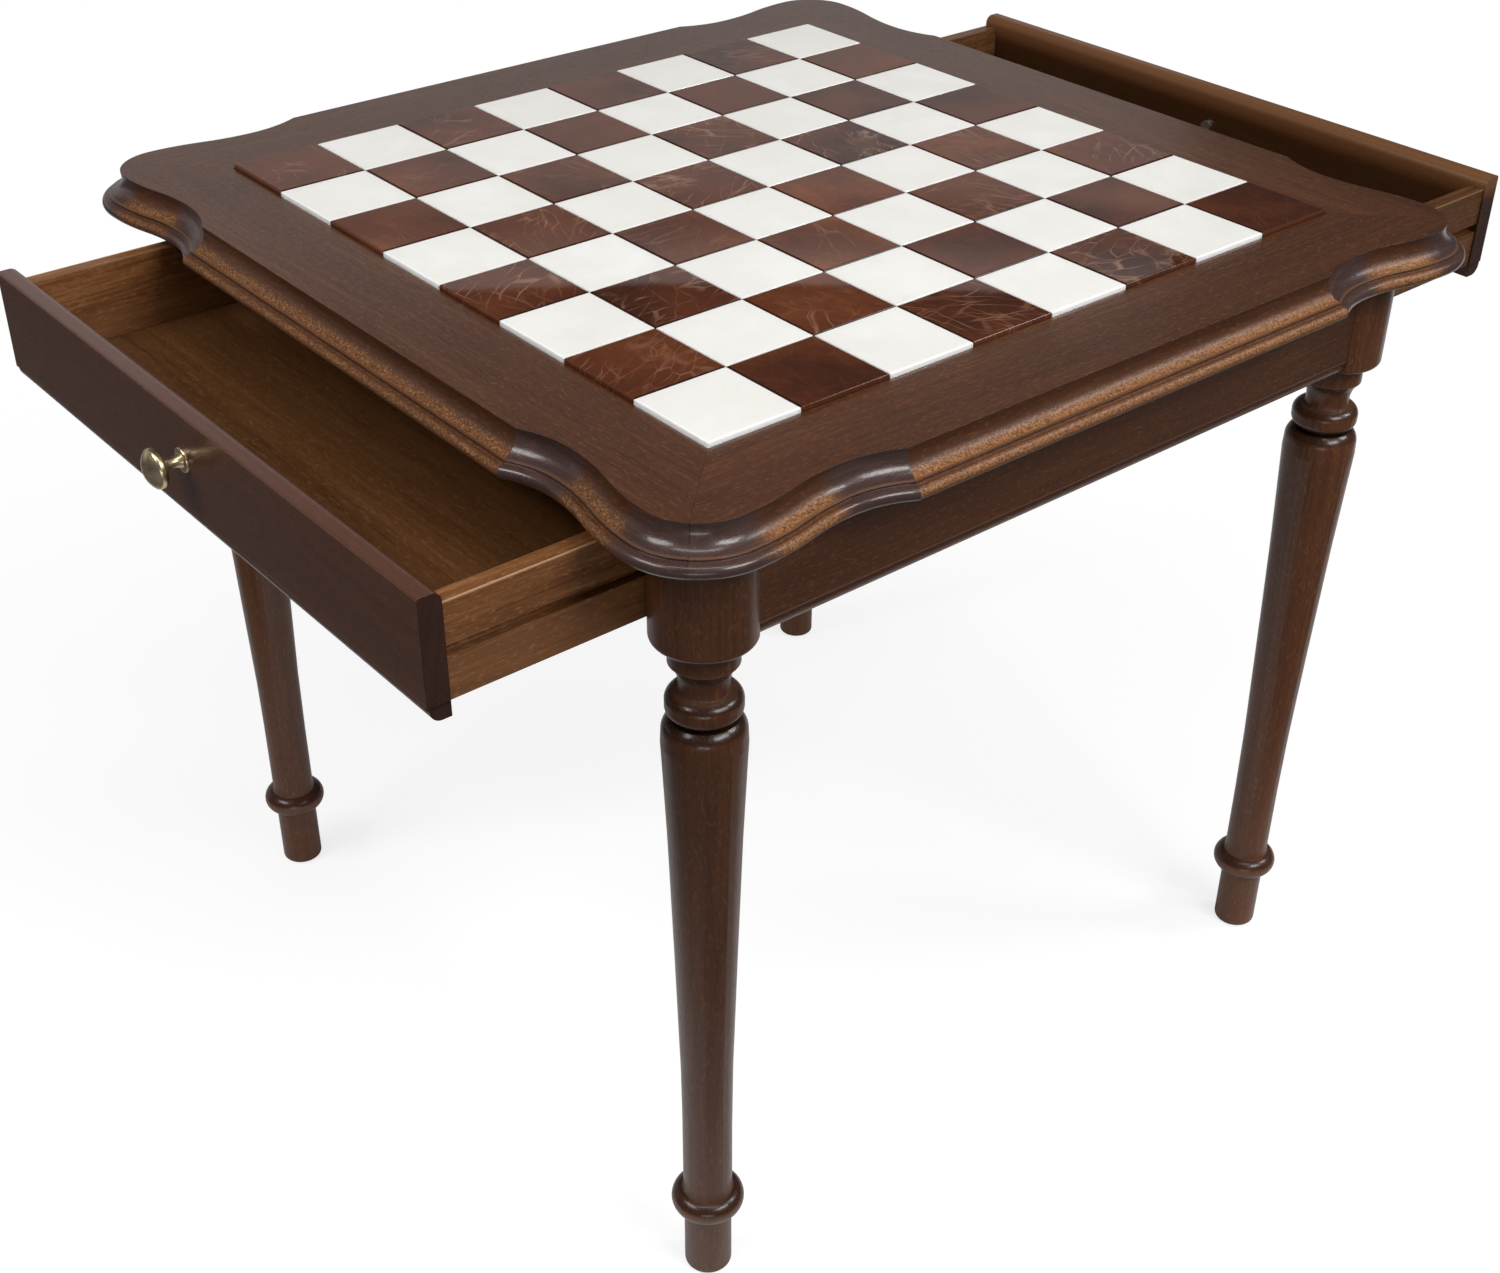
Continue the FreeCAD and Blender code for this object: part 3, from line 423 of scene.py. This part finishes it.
def border_marks(wood, color):
    """The mitre lines, and on the moulding: crowns lighter, partly stain rubbed thin and partly painted
    light, a painted highlight on the cove's arris, and painted shade in the quirk and under the lip.
    """
    finish = wood.finish
    x, y, z = wood.spot
    moulding = abs(wood.facing[2]).fall(*FLAT_FACE)
    down = (BORDER_TOP - z) / BORDER_THICKNESS
    lit_cove_foot = down.rise(*COVE_FOOT_START) * down.fall(*COVE_FOOT_END)
    rubbed_and_lit_crowns = lit_cove_foot.most(down.line(*BEAD_CROWN)) * (1 - wood.end_grain) * moulding
    painted_shade_hollows = down.line(*QUIRK).most(down.line(*LIP_SHADE) * LIP_SHADE_SHARE) * moulding
    arris_highlight = down.line(*COVE_ARRIS) * moulding
    lit_side_rail = (abs(x) - abs(y)).rise(*SOFT_STEP)
    mitre = abs(abs(x) - abs(y)).fall(0.0, MITRE_WIDTH)
    grit = finish.cloud(wood.place, *GRIT)
    dark_grit = grit.rise(*DARK_GRAINS) * moulding * (GRIT_SHARE - wood.end_grain * GRIT_LESS)
    # Crowns: stain rubbed thin, and painted light on the cove's foot and the bead, more on the side rails
    color = finish.mix(rubbed_and_lit_crowns * (RUBBED_AND_LIT_SHARE + lit_side_rail * SIDE_RAIL_PAINTED_LIGHT), color, RUBBED_AND_LIT_GOLD)
    color = finish.mix(dark_grit, color, GRIT_DARK)
    color = finish.stain(color, grit.fall(*PALE_GRAINS) * rubbed_and_lit_crowns, GRIT_PALE)
    # Painted shade in the quirk and under the lip, and a painted highlight on the cove's arris
    color = finish.stain(color, painted_shade_hollows, QUIRK_PAINTED_SHADE)
    color = finish.stain(color, arris_highlight, COVE_ARRIS_HIGHLIGHT)
    return finish.stain(color, mitre, MITRE_DARK)


# Marks on legs, aprons and fronts: levels above the floor and widths, in metres, and their stains,
# painted shade and painted highlights
# The legs' dark hollows are painted shade; their pale crowns are worn stain and a painted highlight
LEG_HOLLOWS = ((0.3952, 0.0035), (0.0475, 0.0030), (0.4408, 0.0016))
LEG_HOLLOW_PAINTED_SHADE = (0.7, (0.014, 0.006, 0.0035))
LEG_CROWNS = ((0.4275, 0.0016), (0.4110, 0.0016), (0.0545, 0.0040))
LEG_CROWN_WEAR_AND_HIGHLIGHT = (0.30, (0.16, 0.085, 0.050))
# The step's dark is painted shade, the arris's pale a painted highlight, the bead's pale worn stain and a
# painted highlight
APRON_STEP = (0.4486, 0.0018)
APRON_STEP_PAINTED_SHADE = (0.85, (0.010, 0.004, 0.0025))
APRON_ARRIS = (0.4506, 0.0007)
APRON_ARRIS_HIGHLIGHT = (0.45, (0.190, 0.0950, 0.0480))
APRON_BEAD = (0.4440, 0.0040)
APRON_BEAD_WEAR_AND_HIGHLIGHT = (0.50, (0.150, 0.0920, 0.0700))


def leg_marks(wood, color):
    """Painted shade in the turned notches, and rings lighter: stain rubbed thin and a painted highlight.
    """
    z = wood.spot[2]
    color = wood.finish.stain(color, z.lines(LEG_HOLLOWS), LEG_HOLLOW_PAINTED_SHADE)
    return wood.finish.stain(color, z.lines(LEG_CROWNS), LEG_CROWN_WEAR_AND_HIGHLIGHT)


def apron_marks(wood, color):
    """Painted shade in the step above the lower bead, a painted highlight on the arris above it, and
    the bead lighter, partly stain worn thin and partly a painted highlight.
    """
    z = wood.spot[2]
    long_grain = 1 - wood.end_grain
    color = wood.finish.stain(color, z.line(*APRON_STEP), APRON_STEP_PAINTED_SHADE)
    color = wood.finish.stain(color, z.line(*APRON_ARRIS) * long_grain, APRON_ARRIS_HIGHLIGHT)
    return wood.finish.stain(color, z.line(*APRON_BEAD) * long_grain, APRON_BEAD_WEAR_AND_HIGHLIGHT)


# Marks on the drawers. The front drawer lies at -Y of the middle, and the back drawer at +Y.
# Turns of a face are parts of its unit normal.
UPWARD = (0.45, 0.90)
INWARD = (0.30, 0.80)
OUTWARD = (0.20, 0.60)
# The inner shade is a painted shadow. The grey on the front's upper edge and arris is a painted
# reflection, and the brown on the back drawer's upper edge is painted light.
INNER_SHADE = (0.488, 0.500)
INNER_PAINTED_SHADOW = (0.60, (0.014, 0.0080, 0.0024))
INNER_EDGE = (0.490, 0.504)
REFLECTION_SPAN = (-0.15, 0.22)
REFLECTION_FADE = 0.75
PAINTED_REFLECTION_GREY = (0.172, 0.1160, 0.1040)
PAINTED_REFLECTION_SHARE = 0.50
PAINTED_LIGHT_BROWN = (0.160, 0.0700, 0.0270)
PAINTED_LIGHT_SHARE = 0.85
FRONT_ARRIS = (0.35, 0.20)
FRONT_ARRIS_REFLECTION = (0.40, (0.260, 0.1700, 0.1400))
BELOW_GROOVE = (0.4690, 0.4730)
BELOW_GROOVE_PALE = (0.30, (0.300, 0.1350, 0.0560))
SIDE_UPPER_EDGE = (0.4989, 0.4996)
SIDE_OUTER_EDGE = (0.2202, 0.2209)
SIDE_ARRIS_HIGHLIGHT = (0.520, 0.3200, 0.1700)
SIDE_ARRIS_HIGHLIGHT_SHARE = 0.25
SIDE_ARRIS_HIGHLIGHT_MORE = 0.50


def front_marks(wood, color):
    """A drawer front's lower bead, painted light on its upper edge and a painted shadow on its inside:
    the front drawer's edge gets a grey painted reflection, the back drawer's a warm painted light.
    """
    finish = wood.finish
    x, y, z = wood.spot
    outward, upward = wood.facing[1:]
    back_drawer = y.rise(*SOFT_STEP)
    # Painted shadow of the top on the back drawer's inner face, below its upper band
    painted_inner_shadow = (0 - outward).rise(*INWARD) * z.fall(*INNER_SHADE) * back_drawer
    lit_inner_band = z.rise(*INNER_EDGE) * outward.fall(*OUTWARD) * back_drawer
    lit_upper_edge = upward.rise(*UPWARD).most(lit_inner_band)
    arris_highlight = upward.line(*FRONT_ARRIS) * (1 - back_drawer)
    # A grey painted reflection on the front drawer's upper edge, fading to the right, and warm painted
    # light on the back drawer's top and upper inner band
    reflection_share = (1 - x.rise(*REFLECTION_SPAN) * REFLECTION_FADE) * PAINTED_REFLECTION_SHARE
    painted_top_light = lit_upper_edge * reflection_share.most(back_drawer * PAINTED_LIGHT_SHARE)
    painted_top_light_color = finish.mix(back_drawer, PAINTED_REFLECTION_GREY, PAINTED_LIGHT_BROWN)
    color = apron_marks(wood, color)
    color = finish.stain(color, painted_inner_shadow, INNER_PAINTED_SHADOW)
    color = finish.mix(painted_top_light, color, painted_top_light_color)
    return finish.stain(color, arris_highlight, FRONT_ARRIS_REFLECTION)


def drawer_side_marks(wood, color):
    """A painted highlight on the upper outer edge, and the front drawer lighter below the runner's groove.
    """
    x, y, z = wood.spot
    front_drawer = y.fall(*SOFT_STEP)
    arris_highlight = z.rise(*SIDE_UPPER_EDGE) * abs(x).rise(*SIDE_OUTER_EDGE)
    arris_highlight_share = SIDE_ARRIS_HIGHLIGHT_SHARE + front_drawer * SIDE_ARRIS_HIGHLIGHT_MORE
    color = wood.finish.stain(color, z.fall(*BELOW_GROOVE) * front_drawer, BELOW_GROOVE_PALE)
    # A painted highlight along the upper outer edge, stronger on the front drawer
    return wood.finish.mix(arris_highlight * arris_highlight_share, color, SIDE_ARRIS_HIGHLIGHT)


# Boards: each has its own seed, so that no two show the same figure. Some have their own shade,
# which is painted light: each leg lighter or darker as the lamps reach it, and the back drawer's
# sides darker as a painted shadow of the top.
BORDER_BOARDS = (("front", "x", 0.0), ("back", "x", 7.3), ("left", "y", 3.1), ("right", "y", 5.7))
LEG_BOARDS = (
    ("front_left", 11.0, 1.30),
    ("front_right", 13.3, 0.92),
    ("back_left", 15.6, 1.20),
    ("back_right", 17.9, 1.40),
)
APRON_BOARDS = (("left", 1.9), ("right", 8.8))
DRAWERS = (("front", 4.4, 1.0), ("back", 6.1, 0.55))
DRAWER_SIDE_SEEDS = (("left", 20.0), ("right", 21.7))
DRAWER_BACK_SEED = 31.0
DRAWER_BOTTOM_SEED = 37.0
ACROSS_SEED = 41.0
ALONG_SEED = 43.0
BEECH_SEED = 47.0


# Tones made lighter or darker by one factor, as painted light and shade
def painted_light_tones(tones, shade):
    return [tuple(part * shade for part in tone) for tone in tones]


def finish_border():
    for side, along, seed in BORDER_BOARDS:
        wood = stained_wood(
            f"border_wood_{side}", along, WALNUT_STAIN, gloss=0.33, streak=0.55, seed=seed,
            marks=border_marks, moulded=True,
        )
        paint(f"border_rail_{side}", wood)


def finish_legs():
    for corner, seed, shade in LEG_BOARDS:
        x = LEG_AXIS * (1 if corner.endswith("right") else -1)
        y = LEG_AXIS * (1 if corner.startswith("back") else -1)
        # The leg's shade factor is painted light
        wood = stained_wood(
            f"leg_wood_{corner}", "z", painted_light_tones(LEG_STAIN, shade), gloss=0.33, streak=0.45, seed=seed,
            rings=(x + LEG_HEART[0], y + LEG_HEART[1], *LEG_RINGS), marks=leg_marks,
        )
        paint(f"leg_{corner}", wood)


def finish_aprons():
    for side, seed in APRON_BOARDS:
        wood = stained_wood(
            f"apron_wood_{side}", "y", WALNUT_STAIN, gloss=0.36, streak=0.4, seed=seed, marks=apron_marks,
        )
        paint(f"apron_{side}", wood)


def finish_drawers():
    for end, seed, shade in DRAWERS:
        drawer = f"{end}_drawer"
        front = stained_wood(
            f"{drawer}_front_wood", "x", FRONT_STAIN, gloss=0.32, streak=0.35, seed=seed,
            rings=FRONT_RINGS, marks=front_marks,
        )
        paint(f"{drawer}_front", front)
        for hand, side_seed in DRAWER_SIDE_SEEDS:
            # The back drawer's sides are darkened as a painted shadow under the top
            side = stained_wood(
                f"{drawer}_{hand}_side_wood", "y", painted_light_tones(DRAWER_STAIN, shade), gloss=0.38, streak=0.75,
                seed=seed + side_seed, marks=drawer_side_marks,
            )
            paint(f"{drawer}_{hand}_side", side)
        back = stained_wood(
            f"{drawer}_back_wood", "x", INSIDE_STAIN, gloss=0.40, streak=0.5,
            seed=seed + DRAWER_BACK_SEED,
        )
        paint(f"{drawer}_back", back)
        bottom = stained_wood(
            f"{drawer}_bottom_wood", "x", INSIDE_STAIN, gloss=0.40, streak=0.5,
            seed=seed + DRAWER_BOTTOM_SEED, rings=BOTTOM_RINGS,
        )
        paint(f"{drawer}_bottom", bottom)


def finish_inner_frame():
    across = stained_wood("frame_wood_across", "x", FRAME_STAIN, gloss=0.5, streak=0.6, seed=ACROSS_SEED)
    along = stained_wood("frame_wood_along", "y", FRAME_STAIN, gloss=0.5, streak=0.6, seed=ALONG_SEED)
    beech = stained_wood("dowel_beech", "y", BARE_BEECH, gloss=0.6, streak=0.5, seed=BEECH_SEED)
    for name in ("centre_rail", "kicker_rail_front", "kicker_rail_back", "board_bed"):
        paint(name, across)
    for name in pieces:
        if name.startswith(("runner_front", "runner_back", "guide_board")):
            paint(name, along)
        if name.endswith(("dowels", "splines")):
            paint(name, beech)


# Stone tiles: each one cut from its own part of the block, by one sort out of many
TILE_SORT = 5.0
TILE_COUNT_FROM = 100
BLOCK_SPREAD = (3.0, 3.0, 3.0)
BOARD_RIM = (BOARD_HALF - 1.2 * MM, BOARD_HALF - 0.8 * MM)


def tile_place(finish):
    """A point of the block that a tile was cut from, the tile's chances, its inset and the board's rim."""
    place = finish.place()
    x, y, z = finish.split(place)
    across = x / SQUARE + TILE_COUNT_FROM
    along = y / SQUARE + TILE_COUNT_FROM
    column = across.floor()
    row = along.floor()
    luck = finish.chances(finish.join(column, row, TILE_SORT))
    block = finish.shift(place, finish.stretch(luck, BLOCK_SPREAD))
    inset = (0.5 - abs(across - column - 0.5)).least(0.5 - abs(along - row - 0.5)) * SQUARE
    inner = abs(x).most(abs(y)).fall(*BOARD_RIM)
    return block, finish.split(luck), inset, inner


# Veins: their place in the block, their turn from the tile's heading, how often their crystals change
# in a metre, and their width as a share of a crystal
BUNDLE_VEINS = (0.31, 0.0, (16.0, 90.0, 20.0), 0.050)
CROSSING_VEINS = (0.77, 0.55, (20.0, 100.0, 20.0), 0.050)
STEEP_VEINS = (1.21, -0.95, (14.0, 70.0, 20.0), 0.040)
WEB_VEINS = (2.11, -0.30, (26.0, 105.0, 20.0), 0.035)
VEIN_BEND = (26.0, 0.016)
VEIN_PATCHES = (30.0, 2.0)
VEIN_PATCH_LEVELS = (0.46, 0.70)
VEIN_CORE = 0.2
BLOCK_SKEW = 1.7


def veins(finish, block, heading, sort):
    """Thin veins along the edges of drawn-out crystals, in parts of the stone."""
    offset, turn, spread, width = sort
    block = finish.shift(block, (offset, offset * BLOCK_SKEW, 0.0))
    inputs = {"Vector": block, "Angle": heading + turn}
    turned = finish.node("ShaderNodeVectorRotate", {"rotation_type": "Z_AXIS"}, inputs)
    bent = finish.cloud_shift(turned, *VEIN_BEND)
    crystals = {"Vector": finish.stretch(bent, spread), "Scale": 1.0}
    settings = {"feature": "DISTANCE_TO_EDGE"}
    edge = finish.node("ShaderNodeTexVoronoi", settings, crystals, output="Distance")
    patches = finish.cloud(block, *VEIN_PATCHES).rise(*VEIN_PATCH_LEVELS)
    return edge.fall(VEIN_CORE * width, width) * patches


# Brown alabaster: clouds by scale, detail and roughness, bends by scale and reach, then its tones
BROWN_BEND = (12.0, 0.030)
BROWN_CLOUDS = (15.0, 2.5, 0.5)
BROWN_MOTTLE = (190.0, 3.0, 0.6)
CLOUD_SHOW = 0.80
MOTTLE_SHOW = 0.20
TILE_SHOW = 0.24
BROWN_DARK = (0.040, 0.0120, 0.0064)
BROWN_MIDDLE = (0.092, 0.0260, 0.0104)
BROWN_LIGHT = (0.165, 0.0500, 0.0180)
BROWN_DARK_TO_MIDDLE = (0.28, 0.58)
BROWN_MIDDLE_TO_LIGHT = (0.54, 0.80)
VEINS_LEAST = 0.12
VEINS_MORE = 0.88
VEINED_TILES = (0.20, 0.85)
WEB_SHOW = 0.7
FAINT_VEIN = (0.48, (0.200, 0.0860, 0.0460))
STRONG_VEIN = (0.50, (0.350, 0.1900, 0.1200))
BLOOM = (90.0, 5.0, 0.7)
BLOOM_LEVELS = (0.48, 0.72)
BLOOM_PATCHES = (26.0, 1.0)
BLOOM_PATCH_LEVELS = (0.50, 0.66)
BLOOM_TILES = (0.84, 0.94)
PALE_BLOOM = (0.50, (0.420, 0.2800, 0.1900))
BROWN_JOINT_WIDTH = (0.5 * MM, 1.2 * MM)
BROWN_JOINT = (0.90, (0.012, 0.0045, 0.0035))
BROWN_RIM = (0.4, (0.120, 0.0380, 0.0160))
BROWN_POLISH = {"Specular IOR Level": 0.33}
BROWN_RELIEF = 0.004 * MM


def brown_alabaster():
    finish = Finish(bpy.data.materials.new("brown_alabaster_polished"))
    block, luck, inset, inner = tile_place(finish)
    clouds = finish.cloud(finish.cloud_shift(block, *BROWN_BEND), *BROWN_CLOUDS)
    mottle = finish.cloud(block, *BROWN_MOTTLE)
    body = clouds * CLOUD_SHOW + mottle * MOTTLE_SHOW + (luck[0] - 0.5) * TILE_SHOW
    color = finish.mix(body.rise(*BROWN_DARK_TO_MIDDLE), BROWN_DARK, BROWN_MIDDLE)
    color = finish.mix(body.rise(*BROWN_MIDDLE_TO_LIGHT), color, BROWN_LIGHT)

    heading = luck[1] * math.pi
    amount = VEINS_LEAST + luck[2].rise(*VEINED_TILES) * VEINS_MORE
    bundle = veins(finish, block, heading, BUNDLE_VEINS)
    crossing = veins(finish, block, heading, CROSSING_VEINS)
    steep = veins(finish, block, heading, STEEP_VEINS)
    web = veins(finish, block, heading, WEB_VEINS)
    faint = bundle.most(steep) * amount
    strong = crossing.most(web * WEB_SHOW) * amount
    color = finish.stain(color, faint, FAINT_VEIN)
    color = finish.stain(color, strong, STRONG_VEIN)

    patches = finish.cloud(block, *BLOOM_PATCHES).rise(*BLOOM_PATCH_LEVELS)
    bloom = finish.cloud(block, *BLOOM).rise(*BLOOM_LEVELS) * patches
    color = finish.stain(color, bloom * luck[2].rise(*BLOOM_TILES), PALE_BLOOM)
    color = finish.stain(color, inset.fall(*BROWN_JOINT_WIDTH) * inner, BROWN_JOINT)
    color = finish.stain(color, 1 - inner, BROWN_RIM)
    roughness = 0.010 + mottle * 0.008 + strong * 0.02
    relief = finish.relief(mottle * 0.3 + strong * 0.7, BROWN_RELIEF)
    return finish.coat(BROWN_POLISH, color, roughness, relief)


# White alabaster: its clouds and veins, and its tones
WHITE_BEND = (20.0, 0.05)
WHITE_CLOUDS = (24.0, 4.0)
WHITE_CLOUD_LEVELS = (0.35, 0.75)
WHITE_SHADE = (0.775, 0.760, 0.724)
WHITE_LIGHT = (0.825, 0.816, 0.790)
WHITE_WARM = (0.35, (0.750, 0.727, 0.676))
WHITE_VEIN_BEND = (16.0, 0.06)
WHITE_VEIN_CLOUD = (22.0, 2.0)
WHITE_VEIN_LINE = (0.5, 0.012)
WHITE_VEIN = (0.10, (0.600, 0.560, 0.500))
WHITE_JOINT_WIDTH = (0.1 * MM, 0.6 * MM)
WHITE_JOINT = (0.6, (0.300, 0.2300, 0.1800))
WHITE_RIM_PAINTED_LIGHT = (1.0, (0.930, 0.920, 0.890))
WHITE_POLISH = {
    "Specular IOR Level": 0.5,
    "Subsurface Weight": 0.6,
    "Subsurface Radius": (1.0, 1.0, 1.0),
    "Subsurface Scale": 5.0 * MM,
}
WHITE_RELIEF = 0.008 * MM


def white_alabaster():
    finish = Finish(bpy.data.materials.new("white_alabaster_polished"))
    block, luck, inset, inner = tile_place(finish)
    clouds = finish.cloud(finish.cloud_shift(block, *WHITE_BEND), *WHITE_CLOUDS)
    vein_cloud = finish.cloud(finish.cloud_shift(block, *WHITE_VEIN_BEND), *WHITE_VEIN_CLOUD)
    color = finish.mix(clouds.rise(*WHITE_CLOUD_LEVELS), WHITE_SHADE, WHITE_LIGHT)
    color = finish.stain(color, luck[0], WHITE_WARM)
    color = finish.stain(color, vein_cloud.line(*WHITE_VEIN_LINE) * luck[1], WHITE_VEIN)
    color = finish.stain(color, inset.fall(*WHITE_JOINT_WIDTH) * inner, WHITE_JOINT)
    # Painted light: the tiles' outer sides at the board's rim are lightened to look as lit as their tops
    color = finish.stain(color, 1 - inner, WHITE_RIM_PAINTED_LIGHT)
    roughness = 0.08 + clouds * 0.06
    return finish.coat(WHITE_POLISH, color, roughness, finish.relief(clouds, WHITE_RELIEF))


# Metal: turned brass knobs and plain steel screws
METAL = {"Metallic": 1.0}
BRASS_DARK = (0.660, 0.510, 0.300)
BRASS_LIGHT = (0.870, 0.740, 0.510)
BRASS_LEVELS = (0.35, 0.75)
BRASS_SMEARS = (160.0, 160.0, 160.0)
LATHE_LINES = (20.0, 5200.0, 20.0)
LATHE_RELIEF = 0.004 * MM
STEEL_DARK = (0.420, 0.420, 0.430)
STEEL_LIGHT = (0.620, 0.620, 0.630)
STEEL_SPOTS = (900.0, 900.0, 900.0)
STEEL_RELIEF = 0.01 * MM


def turned_brass():
    finish = Finish(bpy.data.materials.new("knob_brass_polished"))
    place = finish.place()
    smears = finish.cloud(finish.stretch(place, BRASS_SMEARS), detail=4.0, roughness=0.6)
    lathe = finish.cloud(finish.stretch(place, LATHE_LINES), detail=1.0)
    color = finish.mix(smears.rise(*BRASS_LEVELS), BRASS_DARK, BRASS_LIGHT)
    roughness = 0.24 + smears * 0.14
    return finish.coat(METAL, color, roughness, finish.relief(lathe, LATHE_RELIEF))


def screw_steel():
    finish = Finish(bpy.data.materials.new("screw_steel_zinc"))
    spots = finish.cloud(finish.stretch(finish.place(), STEEL_SPOTS))
    color = finish.mix(spots, STEEL_DARK, STEEL_LIGHT)
    roughness = 0.28 + spots * 0.2
    return finish.coat(METAL, color, roughness, finish.relief(spots, STEEL_RELIEF))


def finish_stone_and_metal():
    paint("brown_tiles", brown_alabaster())
    paint("white_tiles", white_alabaster())
    brass = turned_brass()
    steel = screw_steel()
    for name in pieces:
        if name.endswith("_knob"):
            paint(name, brass)
        if "screw" in name:
            paint(name, steel)


# Studio: pale floor, soft lamps and the camera at the photograph's viewing angle

WHITE = (1.0, 1.0, 1.0)

# Floor: its size, how far out it turns plain white, and where it throws more light up at the table
FLOOR_REACH = 14.0
FLOOR_DROP = 0.2 * MM
FLOOR_SHADE = (0.32, 0.32, 0.32)
FLOOR_GLOW = 0.76
FLOOR_WHITE_FROM = (0.5, 1.5)
BRIGHT_TO_RIGHT = (0.25, 0.50)
BRIGHT_FROM_FRONT = (-0.60, -0.35)
FLOOR_DIM = (0.12, 0.12, 0.12)
FLOOR_BRIGHT = (0.75, 0.75, 0.75)

# World: directions are parts of a unit vector
AMBIENT = 0.30
BACKDROP_SHEEN = 0.50
CEILING_SHEEN = 0.05
BACKDROP_SIDE = (0.30, 0.50)
BACKDROP_EDGE = (0.003, 0.006)
BACKDROP_TOP = (0.398, 0.401)
BACKDROP_BASE = 0.72
UPPER_BAND = (0.380, 0.392)
UPPER_BAND_MORE = 0.28
DARK_BAND = (0.370, 0.018)
DARK_BAND_LESS = 0.35

# Lamps: name, place, what they are aimed at, width, height and power in watts
SOFTBOXES = (
    ("left_softbox", (-0.3, -1.8, 2.2), (0.0, 0.0, 0.4), 1.2, 0.7, 25.0),
    ("right_softbox", (2.0, 0.2, 2.1), (0.0, 0.0, 0.4), 1.2, 0.7, 34.0),
    ("top_softbox", (0.60, -0.52, 2.4), (0.20, -0.20, 0.5), 1.5, 0.25, 9.0),
    ("back_softbox", (1.4, 1.7, 2.1), (0.0, 0.0, 0.4), 0.6, 0.6, 18.0),
    ("low_strip", (1.9, -1.6, 0.35), (0.0, 0.0, 0.35), 1.2, 0.25, 6.0),
)

# Camera: metres, degrees, millimetres, and shares of the picture's width
CAMERA_PLACE = (0.87391, -0.74051, 0.97049)
CAMERA_TURN = (56.4442, -0.4009, 50.3890)
CAMERA_NEAR = 0.05
CAMERA_LENS = 48.8185
CAMERA_SENSOR = 36.0
CAMERA_SHIFT = (-0.0010, 0.0041)


def studio_floor():
    """A floor that is white to the camera, with the table's shadow, and dimmer as a source of light."""
    mesh = bpy.data.meshes.new("studio_floor")
    corners = [(-1, -1), (1, -1), (1, 1), (-1, 1)]
    mesh.from_pydata([(x * FLOOR_REACH, y * FLOOR_REACH, 0) for x, y in corners], [], [(0, 1, 2, 3)])
    floor = bpy.data.objects.new("studio_floor", mesh)
    floor.location.z = -FLOOR_DROP
    bpy.context.scene.collection.objects.link(floor)

    finish = Finish(bpy.data.materials.new("studio_floor_white"))
    x, y, z = finish.split(finish.place())
    away = ((x * x + y * y) ** 0.5).rise(*FLOOR_WHITE_FROM)
    bright = x.fall(*BRIGHT_TO_RIGHT) * y.rise(*BRIGHT_FROM_FRONT)
    bounce_color = finish.mix(bright, FLOOR_DIM, FLOOR_BRIGHT)
    bounce = finish.node("ShaderNodeBsdfDiffuse", inputs={"Color": bounce_color})
    shade = finish.node("ShaderNodeBsdfDiffuse", inputs={"Color": FLOOR_SHADE})
    glow = finish.node("ShaderNodeEmission", inputs={"Color": WHITE, "Strength": FLOOR_GLOW})
    white = finish.node("ShaderNodeEmission", inputs={"Color": WHITE, "Strength": 1.0})
    near = finish.node("ShaderNodeAddShader", inputs={0: shade, 1: glow})
    seen = finish.node("ShaderNodeMixShader", inputs={0: away, 1: near, 2: white})
    camera_ray = finish.node("ShaderNodeLightPath", output="Is Camera Ray")
    surface = finish.node("ShaderNodeMixShader", inputs={0: camera_ray, 1: bounce, 2: seen})
    finish.node("ShaderNodeOutputMaterial", inputs={"Surface": surface})
    mesh.materials.append(finish.owner)


def studio_world():
    """White to the camera. Polished surfaces see a backdrop behind the table, up to a dim ceiling."""
    world = bpy.data.worlds.new("studio_world")
    bpy.context.scene.world = world
    finish = Finish(world)
    x, y, z = finish.split(finish.node("ShaderNodeTexCoord", output="Generated"))
    side = (y * 0.43 - x * 0.90).rise(*BACKDROP_SIDE)
    edge = (0 - x * 0.793 - y * 0.609).rise(*BACKDROP_EDGE)
    bands = BACKDROP_BASE + z.rise(*UPPER_BAND) * UPPER_BAND_MORE - z.line(*DARK_BAND) * DARK_BAND_LESS
    backdrop = side * edge * z.fall(*BACKDROP_TOP) * bands
    camera_ray = finish.node("ShaderNodeLightPath", output="Is Camera Ray")
    glossy_ray = finish.node("ShaderNodeLightPath", output="Is Glossy Ray")
    clear_ray = finish.node("ShaderNodeLightPath", output="Is Transmission Ray")
    mirrored = glossy_ray.most(clear_ray)
    strength = mirrored * (BACKDROP_SHEEN * backdrop + CEILING_SHEEN) + (1 - mirrored) * AMBIENT
    inputs = {"Color": WHITE, "Strength": camera_ray.most(strength)}
    surface = finish.node("ShaderNodeBackground", inputs=inputs)
    finish.node("ShaderNodeOutputWorld", inputs={"Surface": surface})


def softbox(name, place, aim, width, height, power):
    light = bpy.data.lights.new(name, "AREA")
    light.shape = "RECTANGLE"
    light.size = width
    light.size_y = height
    light.energy = power
    lamp = bpy.data.objects.new(name, light)
    lamp.location = place
    lamp.rotation_euler = (Vector(aim) - Vector(place)).to_track_quat("-Z", "Y").to_euler()
    bpy.context.scene.collection.objects.link(lamp)


def studio_camera():
    view = bpy.data.cameras.new("photo_camera")
    view.sensor_width = CAMERA_SENSOR
    view.lens = CAMERA_LENS
    view.shift_x, view.shift_y = CAMERA_SHIFT
    view.clip_start = CAMERA_NEAR
    camera = bpy.data.objects.new("photo_camera", view)
    camera.location = CAMERA_PLACE
    camera.rotation_euler = Euler([math.radians(turn) for turn in CAMERA_TURN], "XYZ")
    bpy.context.scene.collection.objects.link(camera)
    bpy.context.scene.camera = camera


finish_border()
finish_legs()
finish_aprons()
finish_drawers()
finish_inner_frame()
finish_stone_and_metal()
studio_floor()
studio_world()
for lamp in SOFTBOXES:
    softbox(*lamp)
studio_camera()
bpy.context.scene.view_settings.view_transform = "Standard"
